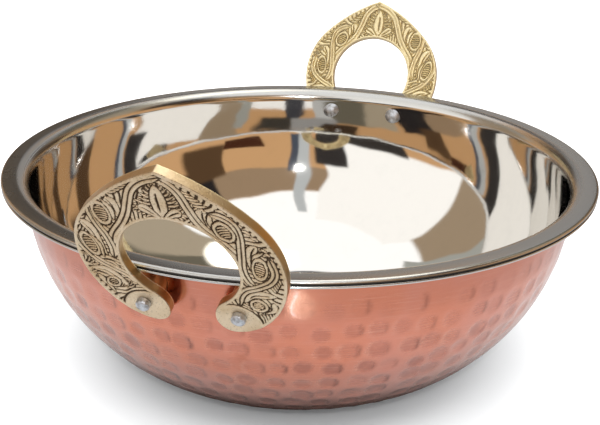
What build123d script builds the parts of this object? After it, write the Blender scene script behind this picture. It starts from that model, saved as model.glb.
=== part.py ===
from build123d import *
from math import cos, radians, sin, tan
import os

# Kadai: a round-bottomed steel bowl in a copper shell, with two cast brass loop handles, each held
# by two rivets. Millimetres. The origin is the middle of the flat foot and +Z is up. The handles
# stand on the X axis, one at each side.

# Bowl, measured on the outside
rim_radius = 115.0
rim_height = 80.0
rim_overhang = 8.7
foot_radius = 41.0
knee_radius = 58.0
knee_turn = 41.7
side_fullness_share = 0.636
collar = 0.5

# Sheets
steel_wall = 0.8
copper_wall = 0.7
ply_gap = 0.05

# Rim: the wall flares into a flange, and the steel is rolled round the copper's edge
flare_radius = 5.2
hem_return_share = 0.82

# Handle, seen face on: heights are measured up its leaning face from the level of the rim
handle_lean = 24.8
handle_stand = 4.0
handle_half_width = 32.9
handle_apex = 42.5
handle_foot = 22.6
apex_slope = 21.5
plate_thickness = 3.8
loop_radius = 18.7
loop_centre = 5.4
pad_gap = 15.4
edge_break = 0.35

# Sunk panel in both faces of the handle
border_width = 1.3
panel_depth = 0.6
pad_radius = 8.5
back_panel_start = 2.0

# Places on the handle's outline, as shares of its half width and of its apex or foot
shoulder_shares = (0.76, 0.60)
widest_shares = (1.0, 0.12)
flank_shares = (0.76, 0.71)
pad_bottom_shares = (0.44, 1.0)
pad_centre_shares = (0.44, 0.80)

# The pad's tip, as shares of half the gap between the pads and of the foot
pad_tip_shares = (1.0, 0.80)

# Seats and rivets
seat_gap = 0.1
rim_gap = 0.35
rivet_spacing = 31.3
rivet_drop = 14.7
boss_radius = 4.8
shank_radius = 1.9
shank_gap = 0.08
head_radius = 3.9
head_height = 1.9
tail_radius = 2.3
tail_height = 2.4
tail_chamfer = 0.7

# How far a cut runs past what it cuts
overrun = 10.0

# Sizes that follow from those above
shell_radius = rim_radius - rim_overhang
handle_face_radius = rim_radius + handle_stand
wall_stack = steel_wall + ply_gap + copper_wall
hem_stack = wall_stack + ply_gap + steel_wall
hem_radius = hem_stack / 2
flange_end = rim_radius - hem_radius
flare_height = rim_height - flare_radius
lean = radians(handle_lean)
flange_start = shell_radius - wall_stack + flare_radius
hem_end = flange_end - hem_return_share * (flange_end - flange_start)

# The knee is an arc from the flat foot, and the side leads from it to the upright collar
side_height = flare_height - collar
knee_slope = radians(knee_turn)
knee_centre = Vector(foot_radius, knee_radius)


def down_and_out(angle):
    """The direction at an angle from straight down, turning outwards."""
    return Vector(sin(angle), -cos(angle))


def wall_line(depth):
    """The bowl's line from the axis to the flange, at a depth inside the shell's outside."""
    wall = shell_radius - depth
    bend = flare_radius - wall_stack + depth
    knee_middle = knee_centre + down_and_out(knee_slope / 2) * (knee_radius - depth)
    join = knee_centre + down_and_out(knee_slope) * (knee_radius - depth)
    top = Vector(wall, side_height)
    corner = Vector(wall, join.Y + (wall - join.X) * tan(knee_slope))
    Line((0, depth), (foot_radius, depth))
    ThreePointArc((foot_radius, depth), knee_middle, join)
    Bezier(
        join,
        join + (corner - join) * side_fullness_share,
        top + (corner - top) * side_fullness_share,
        top,
    )
    Line((wall, side_height), (wall, flare_height))
    RadiusArc((wall, flare_height), (wall + bend, flare_height + bend), bend)


def handle_plane(turn):
    """The plane of a handle's outer face: X runs across it and Y up it, and Z points out and down."""
    out = Vector(1, 0, 0).rotate(Axis.Z, turn)
    across = Vector(0, 1, 0).rotate(Axis.Z, turn)
    face_way = out * cos(lean) - Vector(0, 0, 1) * sin(lean)
    return Plane(origin=out * handle_face_radius + Vector(0, 0, rim_height), x_dir=across, z_dir=face_way)


def rivet_planes(turn):
    """The planes of a handle's two rivets, on its outer face."""
    face = handle_plane(turn)
    return [
        Plane(
            origin=face.from_local_coords(Vector(side * rivet_spacing / 2, -rivet_drop)),
            x_dir=face.x_dir,
            z_dir=face.z_dir,
        )
        for side in (-1, 1)
    ]


def along(edge, share, inset):
    """A point beside a share of the way along an edge, moved to the right of its direction."""
    return edge @ share + (edge % share).rotate(Axis.Z, -90) * inset


def handle_outline(inset=0):
    """The horseshoe of a handle: a pointed top, round sides, and two pads that turn in under the loop."""
    apex = Vector(0, handle_apex)
    shoulder = Vector(shoulder_shares[0] * handle_half_width, shoulder_shares[1] * handle_apex)
    widest = Vector(widest_shares[0] * handle_half_width, widest_shares[1] * handle_apex)
    flank = Vector(flank_shares[0] * handle_half_width, -flank_shares[1] * handle_foot)
    bottom = Vector(pad_bottom_shares[0] * handle_half_width, -pad_bottom_shares[1] * handle_foot)
    tip = Vector(pad_tip_shares[0] * pad_gap / 2, -pad_tip_shares[1] * handle_foot)
    slope = radians(apex_slope)
    middle = Vector(0, loop_centre)
    with BuildLine(mode=Mode.PRIVATE):
        top = TangentArc(apex, shoulder, tangent=(cos(slope), -sin(slope)))
        upper = TangentArc(shoulder, widest, tangent=top % 1)
        lower = TangentArc(widest, flank, tangent=upper % 1)
        heel = TangentArc(flank, bottom, tangent=lower % 1)
        sole = TangentArc(bottom, tip, tangent=heel % 1)
        # The throat is the arc from the pad's tip that touches the loop
        spoke = tip - middle
        inwards = (sole % 1).rotate(Axis.Z, -90)
        throat_radius = (spoke.length**2 - loop_radius**2) / (2 * (loop_radius - spoke.dot(inwards)))
        throat_way = (tip + inwards * throat_radius - middle).normalized()
        throat = TangentArc(tip, middle + throat_way * loop_radius, tangent=sole % 1)
        loop_way = (throat_way + Vector(0, 1)).normalized()
        loop = ThreePointArc(throat @ 1, middle + loop_way * loop_radius, middle + Vector(0, loop_radius))
    with BuildLine() as half:
        for arc in (top, upper, lower, heel, sole, throat, loop):
            ThreePointArc(along(arc, 0, inset), along(arc, 1 / 2, inset), along(arc, 1, inset))
        Line(along(loop, 1, inset), along(top, 0, inset))
    make_face(half.edges())
    with Locations((handle_half_width, 0)):
        Rectangle(2 * handle_half_width, 2 * (handle_apex + handle_foot), mode=Mode.INTERSECT)
    mirror(about=Plane.YZ)


def panel():
    """The sunk panel: the outline less its border, and clear of the plain pads."""
    handle_outline(border_width)
    pad_places = [
        (side * pad_centre_shares[0] * handle_half_width, -pad_centre_shares[1] * handle_foot)
        for side in (-1, 1)
    ]
    with Locations(*pad_places):
        Circle(pad_radius, mode=Mode.SUBTRACT)


def rivet_holes(turn):
    """Cuts the two holes of a handle's rivets through what stands behind its outer face."""
    for plane in rivet_planes(turn):
        with BuildSketch(plane) as hole:
            Circle(shank_radius + shank_gap)
        extrude(hole.sketch, amount=-(handle_face_radius - shell_radius) - overrun, mode=Mode.SUBTRACT)


# Steel bowl: its rim is rolled under, round the shell's edge
steel_outside = copper_wall + ply_gap
with BuildPart() as steel_bowl:
    with BuildSketch(Plane.XZ):
        with BuildLine():
            wall_line(wall_stack)
            wall_line(steel_outside)
            Line((0, steel_outside), (0, wall_stack))
            Line((flange_start, rim_height), (flange_end, rim_height))
            ThreePointArc(
                (flange_end, rim_height),
                (rim_radius, rim_height - hem_radius),
                (flange_end, rim_height - hem_stack),
            )
            Polyline(
                (flange_end, rim_height - hem_stack),
                (hem_end, rim_height - hem_stack),
                (hem_end, rim_height - hem_stack + steel_wall),
                (flange_end, rim_height - hem_stack + steel_wall),
            )
            ThreePointArc(
                (flange_end, rim_height - hem_stack + steel_wall),
                (rim_radius - steel_wall, rim_height - hem_radius),
                (flange_end, rim_height - steel_wall),
            )
            Line((flange_end, rim_height - steel_wall), (flange_start, rim_height - steel_wall))
        make_face()
    revolve(axis=Axis.Z)
    # Where each rivet's axis leaves the steel, before the holes are cut
    head_seats = {
        turn: [
            steel_bowl.part.shell().find_intersection_points(Axis(plane.origin, -plane.z_dir))[1]
            for plane in rivet_planes(turn)
        ]
        for turn in (0, 180)
    }
    for turn in (0, 180):
        rivet_holes(turn)
steel_bowl.part.label = "steel_bowl"

# Copper shell: it follows the steel up to the hem, and its edge lies inside the roll
with BuildPart() as copper_shell:
    with BuildSketch(Plane.XZ):
        with BuildLine():
            wall_line(copper_wall)
            wall_line(0)
            Line((0, 0), (0, copper_wall))
            Polyline(
                (flange_start, rim_height - wall_stack + copper_wall),
                (flange_end, rim_height - wall_stack + copper_wall),
                (flange_end, rim_height - wall_stack),
                (flange_start, rim_height - wall_stack),
            )
        make_face()
    revolve(axis=Axis.Z)
    for turn in (0, 180):
        rivet_holes(turn)
copper_shell.part.label = "copper_shell"

# What the handles have to clear: the shell up to the rim, and a drum round the rim and above it
with BuildPart() as bowl_envelope:
    with BuildSketch(Plane.XZ):
        with BuildLine():
            wall_line(-seat_gap)
            Polyline(
                (flange_start, rim_height - wall_stack - seat_gap),
                (0, rim_height - wall_stack - seat_gap),
                (0, -seat_gap),
            )
        make_face()
    revolve(axis=Axis.Z)
    with BuildSketch(Plane.XY.offset(rim_height - hem_stack - rim_gap)):
        Circle(rim_radius + rim_gap)
    extrude(amount=hem_stack + handle_apex)


def make_handle():
    """The +X handle: the horseshoe plate, with a boss behind each pad that sits on the shell."""
    face = handle_plane(0)
    back = face.offset(-plate_thickness)
    with BuildPart() as handle:
        with BuildSketch(face):
            handle_outline()
        extrude(amount=-plate_thickness)
        outer_face = handle.faces().sort_by(Axis(face.origin, face.z_dir))[-1]
        inner_face = handle.faces().sort_by(Axis(face.origin, face.z_dir))[0]
        chamfer(outer_face.edges() + inner_face.edges(), edge_break)
        for plane in rivet_planes(0):
            with BuildSketch(plane.offset(-plate_thickness / 2)) as boss:
                Circle(boss_radius)
            extrude(boss.sketch, amount=-(handle_face_radius - shell_radius))
        add(bowl_envelope.part, mode=Mode.SUBTRACT)
        with BuildSketch(face.offset(-panel_depth)):
            panel()
        extrude(amount=overrun, mode=Mode.SUBTRACT)
        with BuildSketch(back.offset(panel_depth)):
            panel()
            with Locations((0, back_panel_start + handle_apex / 2)):
                Rectangle(2 * handle_half_width, handle_apex, mode=Mode.INTERSECT)
        extrude(amount=-overrun, mode=Mode.SUBTRACT)
        rivet_holes(0)
    return handle.part


def make_rivet(plane, seat):
    """A rivet: a domed head flat on the steel inside, a shank, and a peened tail on the pad outside."""
    seat_point, out_of_steel = seat
    sag = head_radius**2 / (2 * (rim_height - wall_stack))
    head_base = seat_point + out_of_steel * (seat_gap + sag)
    head_face = Plane(origin=head_base, z_dir=out_of_steel)
    head_section = Plane(origin=head_base, x_dir=head_face.x_dir, z_dir=-head_face.y_dir)
    dome_radius = (head_radius**2 + head_height**2) / (2 * head_height)
    with BuildPart() as rivet:
        with BuildSketch(plane.offset(seat_gap)):
            Circle(tail_radius)
        extrude(amount=tail_height)
        chamfer(rivet.faces().sort_by(Axis(plane.origin, plane.z_dir))[-1].edges(), tail_chamfer)
        with BuildSketch(plane.offset(seat_gap)):
            Circle(shank_radius)
        extrude(amount=-(seat_gap + (head_base - plane.origin).length))
        with BuildSketch(head_section):
            with BuildLine():
                Polyline((0, head_height), (0, 0), (head_radius, 0))
                RadiusArc((head_radius, 0), (0, head_height), -dome_radius)
            make_face()
        revolve(axis=Axis(head_base, out_of_steel))
    return rivet.part


names = {0: "right", 180: "left"}
parts = [steel_bowl.part, copper_shell.part]
cast_handle = make_handle()
for turn, side in names.items():
    handle = cast_handle.rotate(Axis.Z, turn)
    handle.label = f"handle_{side}"
    parts.append(handle)
    ends = ("front", "back") if turn == 0 else ("back", "front")
    for plane, seat, end in zip(rivet_planes(turn), head_seats[turn], ends):
        rivet = make_rivet(plane, seat)
        rivet.label = f"rivet_{side}_{end}"
        parts.append(rivet)

os.makedirs("parts", exist_ok=True)
for piece in parts:
    export_step(piece, f"parts/{piece.label}.step")
    print(piece.label, "volume", round(piece.volume), "valid", piece.is_valid)
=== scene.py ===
"""Kadai: a mirror-polished steel bowl in a hammered copper shell, with two carved brass loop handles."""

import logging
import math
from dataclasses import dataclass, field
from enum import Enum
from typing import Any, ClassVar, Optional, Union

import bpy
import numpy as np
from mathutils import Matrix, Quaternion, Vector


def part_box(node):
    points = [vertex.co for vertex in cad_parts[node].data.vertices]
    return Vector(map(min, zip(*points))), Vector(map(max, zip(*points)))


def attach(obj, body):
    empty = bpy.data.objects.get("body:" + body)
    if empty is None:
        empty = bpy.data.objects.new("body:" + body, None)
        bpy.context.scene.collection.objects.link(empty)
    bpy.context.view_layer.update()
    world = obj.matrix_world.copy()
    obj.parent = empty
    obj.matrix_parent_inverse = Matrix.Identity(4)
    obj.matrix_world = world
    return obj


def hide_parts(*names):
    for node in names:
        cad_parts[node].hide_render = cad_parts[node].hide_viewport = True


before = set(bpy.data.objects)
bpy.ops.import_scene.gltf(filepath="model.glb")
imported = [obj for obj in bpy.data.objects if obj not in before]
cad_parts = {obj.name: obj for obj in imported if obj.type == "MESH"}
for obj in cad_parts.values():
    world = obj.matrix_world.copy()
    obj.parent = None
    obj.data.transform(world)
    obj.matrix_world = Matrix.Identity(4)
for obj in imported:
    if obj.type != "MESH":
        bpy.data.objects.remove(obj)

LOG = logging.getLogger("kadai")
BODY = "root"
MM = 0.001
SEED = 7

Colour = tuple[float, float, float]
Place = tuple[float, float, float]
Spot = tuple[float, float]
Range = tuple[float, float]
Value = Union[float, "Signal"]
Faces = list[tuple[int, ...]]


class Signal:
    """A shader socket that takes part in Python arithmetic, adding a Math node for each step."""

    def __init__(self, bench: "Bench", socket: bpy.types.NodeSocket) -> None:
        """Wraps one output socket.

        Args:
            bench: The material that the socket belongs to.
            socket: The node's output.
        """
        self.bench = bench
        self.socket = socket

    def _step(self, operation: str, first: Value, second: Value) -> "Signal":
        """Adds one Math node.

        Args:
            operation: The Math node's operation.
            first: Its first input.
            second: Its second input.

        Returns:
            The node's result.
        """
        return self.bench.add("ShaderNodeMath", {"operation": operation}, {0: first, 1: second})

    def __add__(self, other: Value) -> "Signal":
        """This plus other."""
        return self._step("ADD", self, other)

    def __radd__(self, other: Value) -> "Signal":
        """Other plus this."""
        return self._step("ADD", other, self)

    def __sub__(self, other: Value) -> "Signal":
        """This less other."""
        return self._step("SUBTRACT", self, other)

    def __rsub__(self, other: Value) -> "Signal":
        """Other less this."""
        return self._step("SUBTRACT", other, self)

    def __mul__(self, other: Value) -> "Signal":
        """This times other."""
        return self._step("MULTIPLY", self, other)

    def __rmul__(self, other: Value) -> "Signal":
        """Other times this."""
        return self._step("MULTIPLY", other, self)

    def __abs__(self) -> "Signal":
        """This without its sign."""
        return self._step("ABSOLUTE", self, 0.0)

    def between(self, low: float, high: float) -> "Signal":
        """A smooth step of this value.

        Args:
            low: Where the step starts, at 0. It may be the higher one, for a falling step.
            high: Where it ends, at 1.

        Returns:
            A value from 0 to 1.
        """
        return self.bench.add(
            "ShaderNodeMapRange",
            {"interpolation_type": "SMOOTHSTEP"},
            {"Value": self, "From Min": low, "From Max": high},
        )


@dataclass(frozen=True)
class Grain:
    """A noise pattern: its size in metres, its finer layers, their strength, and each axis's stretch."""

    size: float
    layers: float = 3.0
    rough: float = 0.5
    stretch: Place = (1.0, 1.0, 1.0)


class Bench:
    """A node tree being made, for a material or the surroundings."""

    def __init__(self, tree: bpy.types.NodeTree) -> None:
        """Empties the tree.

        Args:
            tree: The node tree to fill.
        """
        self.tree = tree
        tree.nodes.clear()

    def add(
        self,
        kind: str,
        settings: Optional[dict[str, Any]] = None,
        sockets: Optional[dict[Union[str, int], Any]] = None,
        output: Union[str, int] = 0,
    ) -> Signal:
        """Adds any node.

        Args:
            kind: The node's type.
            settings: The node's own settings, which are set first.
            sockets: Values or signals for its inputs, by name or number.
            output: The output wanted.

        Returns:
            That output.
        """
        node = self.tree.nodes.new(kind)
        for name, value in (settings or {}).items():
            setattr(node, name, value)
        for name, value in (sockets or {}).items():
            if isinstance(value, Signal):
                self.tree.links.new(value.socket, node.inputs[name])
            elif value is not None:
                node.inputs[name].default_value = value
        return Signal(self, node.outputs[output] if node.outputs else None)

    def blend(self, factor: Value, first: Any, second: Any) -> Signal:
        """A colour between two.

        Args:
            factor: How much of the second, from 0 to 1.
            first: A colour or a signal.
            second: A colour or a signal.

        Returns:
            The mixed colour.
        """
        return self.add(
            "ShaderNodeMix",
            {"data_type": "RGBA"},
            {0: factor, 6: self._rgba(first), 7: self._rgba(second)},
            output=2,
        )

    @staticmethod
    def _rgba(colour: Any) -> Any:
        """A colour with its alpha, or the signal as it is."""
        return colour if isinstance(colour, Signal) else (*colour, 1.0)

    def place(self, stretch: Place = (1.0, 1.0, 1.0)) -> Signal:
        """The point's own place on the piece, in metres.

        Args:
            stretch: How much each axis is multiplied, to draw a pattern out along an axis.

        Returns:
            The place as a vector.
        """
        point = self.add("ShaderNodeTexCoord", output="Object")
        return self.add("ShaderNodeVectorMath", {"operation": "MULTIPLY"}, {0: point, 1: stretch})

    def noise(self, grain: Grain, place: Optional[Signal] = None) -> Signal:
        """Soft noise.

        Args:
            grain: Its pattern.
            place: Where it is read, if not at the point's own place.

        Returns:
            A value about 0.5.
        """
        where = place or self.place(grain.stretch)
        return self.add(
            "ShaderNodeTexNoise",
            None,
            {"Vector": where, "Scale": 1 / grain.size, "Detail": grain.layers, "Roughness": grain.rough},
        )

    def stored(self, name: str) -> Signal:
        """The value of that name that is stored at the piece's points."""
        return self.add("ShaderNodeAttribute", {"attribute_name": name}, output="Fac")

    def part(self, vector: Signal, axis: str) -> Signal:
        """A vector's X, Y or Z."""
        return self.add("ShaderNodeSeparateXYZ", None, {0: vector}, output=axis)

    def ray(self, kind: str) -> Signal:
        """1 for the light paths of that kind, and 0 for the others."""
        return self.add("ShaderNodeLightPath", output=kind)

    def bump(self, height: Signal, depth: float, under: Optional[Signal] = None) -> Signal:
        """A bumped normal.

        Args:
            height: The pattern, from 0 to 1.
            depth: How high 1 stands, in metres.
            under: A normal to start from.

        Returns:
            The normal.
        """
        return self.add("ShaderNodeBump", None, {"Height": height, "Distance": depth, "Normal": under})


def new_material(name: str) -> tuple[bpy.types.Material, Bench]:
    """An empty node material.

    Args:
        name: Its name.

    Returns:
        The material and its bench.
    """
    material = bpy.data.materials.new(name)
    material.use_nodes = True
    return material, Bench(material.node_tree)


def close_metal(
    bench: Bench,
    colour: Signal,
    roughness: Signal,
    normal: Signal,
    grain: float = 0.0,
    lacquer: float = 0.0,
    lacquer_roughness: float = 0.0,
) -> None:
    """Ends a metal's nodes in its shader.

    Args:
        bench: The material's bench.
        colour: The metal's colour.
        roughness: Its roughness.
        normal: Its bumped normal.
        grain: How much its gloss is drawn out across the brushing.
        lacquer: How much clear lacquer covers it, from 0 to 1.
        lacquer_roughness: The lacquer's roughness.
    """
    shader = bench.add(
        "ShaderNodeBsdfPrincipled",
        None,
        {
            "Base Color": colour,
            "Metallic": 1.0,
            "Roughness": roughness,
            "Anisotropic": grain,
            "Coat Weight": lacquer,
            "Coat Roughness": lacquer_roughness,
            "Normal": normal,
        },
    )
    bench.add("ShaderNodeOutputMaterial", None, {"Surface": shader})


@dataclass(frozen=True)
class HammeredCopper:
    """Lacquered satin copper, brushed round the bowl, duller in the hammer marks; painted shade and
    highlights at their edges, painted reflection low down, painted shade at the foot.
    """

    bright: Colour = (0.63, 0.212, 0.124)
    # Rosy tone of the random blotches and of the painted reflection on the lower wall.
    rosy: Colour = (0.60, 0.235, 0.175)
    # Paler colour of the brushing scratches' wear and of the painted highlight at the marks' edges.
    sheen: Colour = (0.74, 0.38, 0.28)
    stain: Colour = (0.36, 0.095, 0.045)
    mark: Colour = (0.37, 0.118, 0.078)
    # Colour of the painted shade in the marks' crescents and at the foot.
    crease: Colour = (0.17, 0.045, 0.028)
    scratches: Grain = Grain(0.35 * MM, 2.0, 0.6, (0.025, 0.025, 1.0))
    blotches: Grain = Grain(26 * MM)
    mottle: Grain = Grain(26 / 9 * MM, 4.0, 0.6)
    stains: Grain = Grain(15 * MM, 5.0, 0.65, (1.0, 1.0, 1.8))
    blotch_range: Range = (0.36, 0.66)
    blotch_strength: float = 0.55
    low_reflection_range: Range = (62 * MM, 10 * MM)
    low_reflection_strength: float = 0.45
    stain_range: Range = (0.58, 0.78)
    stain_strength: float = 0.5
    mark_range: Range = (0.0, 0.6)
    mark_strength: float = 0.85
    scratch_range: Range = (0.5, 0.8)
    scratch_strength: float = 0.3
    painted_glint_strength: float = 0.3
    crease_shade_range: Range = (0.2, 0.5)
    crease_shade_strength: float = 0.85
    foot_shade_range: Range = (7 * MM, 0.0)
    foot_shade_strength: float = 0.8
    roughness: float = 0.21
    scratch_roughness: float = 0.12
    mark_roughness: float = 0.10
    blotch_gloss: float = 0.06
    scratch_depth: float = 0.012 * MM
    mottle_depth: float = 0.05 * MM
    grain: float = 0.35
    lacquer: float = 0.65
    lacquer_roughness: float = 0.10

    def make(self) -> bpy.types.Material:
        """Builds the finish.

        Returns:
            Its material.
        """
        material, bench = new_material("hammered_copper")
        scratches = bench.noise(self.scratches)
        blotches = bench.noise(self.blotches)
        mottle = bench.noise(self.mottle)
        stains = bench.noise(self.stains)
        # The stored crease value is painted shade and the ridges value painted highlight, both at the marks'
        # edges.
        marks, crease_shades, ridges = (bench.stored(name) for name in ("mark", "crease", "painted_glint"))
        height = bench.part(bench.place(), "Z")
        rosiness = blotches.between(*self.blotch_range) * self.blotch_strength
        # Painted reflection: the lower wall turns rosier and lighter.
        rosiness = rosiness + height.between(*self.low_reflection_range) * self.low_reflection_strength
        # Scratches are real wear; the ridges value adds a painted highlight at the marks' edges.
        wear_and_glint = scratches.between(*self.scratch_range) * self.scratch_strength + ridges * self.painted_glint_strength
        tone = bench.blend(rosiness, self.bright, self.rosy)
        tone = bench.blend(stains.between(*self.stain_range) * self.stain_strength, tone, self.stain)
        tone = bench.blend(marks * mottle.between(*self.mark_range) * self.mark_strength, tone, self.mark)
        tone = bench.blend(wear_and_glint, tone, self.sheen)
        # Painted shade: dark crescents on one side of the marks' edges.
        darkness = crease_shades * mottle.between(*self.crease_shade_range) * self.crease_shade_strength
        tone = bench.blend(darkness, tone, self.crease)
        # Painted shade: the wall darkens over its last few millimetres at the foot.
        tone = bench.blend(height.between(*self.foot_shade_range) * self.foot_shade_strength, tone, self.crease)
        roughness = self.roughness + self.scratch_roughness * scratches + self.mark_roughness * marks
        roughness = roughness - self.blotch_gloss * blotches
        normal = bench.bump(scratches, self.scratch_depth)
        normal = bench.bump(mottle, self.mottle_depth, normal)
        close_metal(bench, tone, roughness, normal, self.grain, self.lacquer, self.lacquer_roughness)
        return material


@dataclass(frozen=True)
class MirrorSteel:
    """Spun steel, mirror-polished inside, satin on the rolled rim, with painted shade in the groove under it.
    """

    bright: Colour = (0.80, 0.785, 0.76)
    cloudy: Colour = (0.74, 0.73, 0.71)
    satin: Colour = (0.47, 0.475, 0.47)
    # Colour of the painted shade in the groove under the rolled rim.
    groove_shade: Colour = (0.045, 0.040, 0.036)
    lines: Grain = Grain(0.5 * MM, 3.0, 0.6, (0.004, 0.004, 1.0))
    waves: Grain = Grain(26 * MM, 1.0)
    smears: Grain = Grain(26 / 3 * MM, 4.0, 0.65)
    cloud_range: Range = (0.45, 0.75)
    cloud_strength: float = 0.3
    rim_range: Range = (74 * MM, 79 * MM)
    rim_strength: float = 0.8
    roughness: float = 0.05
    smear_range: Range = (0.5, 0.8)
    smear_roughness: float = 0.02
    rim_roughness: float = 0.16
    line_roughness: float = 0.12
    wave_depth: float = 0.22 * MM
    smear_depth: float = 0.012 * MM
    line_depth: float = 0.008 * MM

    def make(self) -> bpy.types.Material:
        """Builds the finish.

        Returns:
            Its material.
        """
        material, bench = new_material("mirror_steel")
        rim = bench.part(bench.place(), "Z").between(*self.rim_range)
        lines = bench.noise(self.lines)
        smears = bench.noise(self.smears)
        tone = bench.blend(smears.between(*self.cloud_range) * self.cloud_strength, self.bright, self.cloudy)
        tone = bench.blend(rim * self.rim_strength, tone, self.satin)
        # Painted shade: the groove under the rolled rim is darkened.
        tone = bench.blend(bench.stored("groove_shade"), tone, self.groove_shade)
        gloss = self.roughness + smears.between(*self.smear_range) * self.smear_roughness
        roughness = gloss + rim * (self.rim_roughness + self.line_roughness * lines)
        normal = bench.bump(bench.noise(self.waves), self.wave_depth)
        normal = bench.bump(smears, self.smear_depth, normal)
        normal = bench.bump(lines * rim, self.line_depth, normal)
        close_metal(bench, tone, roughness, normal)
        return material


@dataclass(frozen=True)
class CarvedBrass:
    """Cast brass, pale where it is rubbed, golden at its edges but kept pale near the top as a painted
    highlight, with brown dirt left in the carving.
    """

    rubbed: Colour = (0.715, 0.59, 0.43)
    yellow: Colour = (0.90, 0.79, 0.49)
    golden: Colour = (0.47, 0.31, 0.13)
    dirt: Colour = (0.125, 0.085, 0.055)
    pits: Grain = Grain(0.6 * MM, 3.0, 0.6)
    blotches: Grain = Grain(9 * MM, 4.0, 0.6)
    blotch_range: Range = (0.35, 0.7)
    blotch_strength: float = 0.45
    sheen_range: Range = (98 * MM, 119 * MM)
    sheen_strength: float = 0.8
    inner_strength: float = 0.85
    pit_range: Range = (0.53, 0.70)
    pit_strength: float = 0.5
    pit_side_share: float = 0.6
    dirt_range: Range = (0.72, 0.18)
    inner_clean_share: float = 0.3
    roughness: float = 0.40
    blotch_roughness: float = 0.22
    dirt_roughness: float = 0.2
    side_gloss: float = 0.16
    inner_gloss: float = 0.1
    pit_depth: float = 0.09 * MM

    def make(self) -> bpy.types.Material:
        """Builds the finish.

        Returns:
            Its material.
        """
        material, bench = new_material("carved_brass")
        relief, side, inner = (bench.stored(name) for name in ("relief", "side", "inner"))
        pits = bench.noise(self.pits)
        blotches = bench.noise(self.blotches)
        # Painted highlight: near the top, the edges keep the pale face colour instead of the golden one.
        sheen = bench.part(bench.place(), "Z").between(*self.sheen_range) * self.sheen_strength
        goldness = blotches.between(*self.blotch_range) * self.blotch_strength
        tone = bench.blend(goldness, self.rubbed, self.golden)
        tone = bench.blend(side * (1 - sheen), tone, self.golden)
        tone = bench.blend(inner * self.inner_strength, tone, self.yellow)
        speckle = pits.between(*self.pit_range) * self.pit_strength * (1 - side * self.pit_side_share)
        dirt = relief.between(*self.dirt_range) + speckle
        shown = dirt.between(0.0, 1.0) * (1 - inner * self.inner_clean_share)
        tone = bench.blend(shown, tone, self.dirt)
        roughness = self.roughness + self.blotch_roughness * blotches + self.dirt_roughness * dirt
        roughness = roughness - self.side_gloss * side - self.inner_gloss * inner
        close_metal(bench, tone, roughness, bench.bump(pits, self.pit_depth))
        return material


@dataclass(frozen=True)
class PeenedSteel:
    """Rivet steel, bluish, with hammer flats and dull edges."""

    bright: Colour = (0.56, 0.58, 0.62)
    dull: Colour = (0.27, 0.255, 0.245)
    dents: Grain = Grain(1.6 * MM, 3.0, 0.6)
    specks: Grain = Grain(0.4 * MM, 2.0)
    dull_range: Range = (0.4, 0.72)
    speck_share: float = 0.15
    roughness: float = 0.3
    dent_roughness: float = 0.25
    depth: float = 0.10 * MM

    def make(self) -> bpy.types.Material:
        """Builds the finish.

        Returns:
            Its material.
        """
        material, bench = new_material("peened_steel")
        dents = bench.noise(self.dents)
        tone = bench.blend(dents.between(*self.dull_range), self.bright, self.dull)
        roughness = self.roughness + self.dent_roughness * dents
        flats = dents + bench.noise(self.specks) * self.speck_share
        close_metal(bench, tone, roughness, bench.bump(flats, self.depth))
        return material


class Finish(Enum):
    """The finishes, by the material slot of the record that each one shows."""

    COPPER = "shell_copper"
    STEEL = "bowl_steel"
    BRASS = "handle_brass"
    RIVET = "rivet_steel"


class Finisher:
    """Makes each finish once and hands it out."""

    def __init__(self) -> None:
        """Sets out the recipes."""
        self.recipes = {
            Finish.COPPER: HammeredCopper(),
            Finish.STEEL: MirrorSteel(),
            Finish.BRASS: CarvedBrass(),
            Finish.RIVET: PeenedSteel(),
        }
        self.made: dict[Finish, bpy.types.Material] = {}

    def material(self, finish: Finish) -> bpy.types.Material:
        """The material of a finish, made when it is first asked for.

        Args:
            finish: The finish.

        Returns:
            Its material.
        """
        if finish not in self.made:
            self.made[finish] = self.recipes[finish].make()
        return self.made[finish]


FINISHER = Finisher()


def build_mesh(
    name: str,
    points: np.ndarray,
    faces: Faces,
    finish: Finish,
    crease: float,
    fields: Optional[dict[str, np.ndarray]] = None,
) -> bpy.types.Object:
    """Makes one piece that rides on the body and has its finish.

    Args:
        name: The piece's name.
        points: Its points, in metres, one row each.
        faces: Its faces as point numbers.
        finish: Its finish.
        crease: The angle in degrees from which an edge shows sharp.
        fields: Values for each point that the finish reads, by name.

    Returns:
        The object.
    """
    mesh = bpy.data.meshes.new(name)
    mesh.from_pydata(points.tolist(), [], faces)
    mesh.shade_smooth()
    mesh.set_sharp_from_angle(angle=math.radians(crease))
    for field_name, values in (fields or {}).items():
        layer = mesh.attributes.new(field_name, "FLOAT", "POINT")
        layer.data.foreach_set("value", values.astype(np.float32).ravel())
    piece = bpy.data.objects.new(name, mesh)
    bpy.context.scene.collection.objects.link(piece)
    mesh.materials.append(FINISHER.material(finish))
    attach(piece, BODY)
    LOG.info("%s: %d points, %d faces", name, len(mesh.vertices), len(mesh.polygons))
    return piece


def tiles(*corners: np.ndarray) -> Faces:
    """Faces, from the point numbers at each of their corners."""
    return [tuple(face) for face in np.stack(corners, axis=-1).reshape(-1, len(corners)).tolist()]


def turned(way: np.ndarray, turns: Union[float, np.ndarray]) -> np.ndarray:
    """A flat direction, turned to the left by each of some angles.

    Args:
        way: The direction.
        turns: The angles in radians.

    Returns:
        The new directions, one row each, or a single one for a single angle.
    """
    across, up = np.cos(turns), np.sin(turns)
    return np.stack([way[0] * across - way[1] * up, way[0] * up + way[1] * across], axis=-1)


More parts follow.
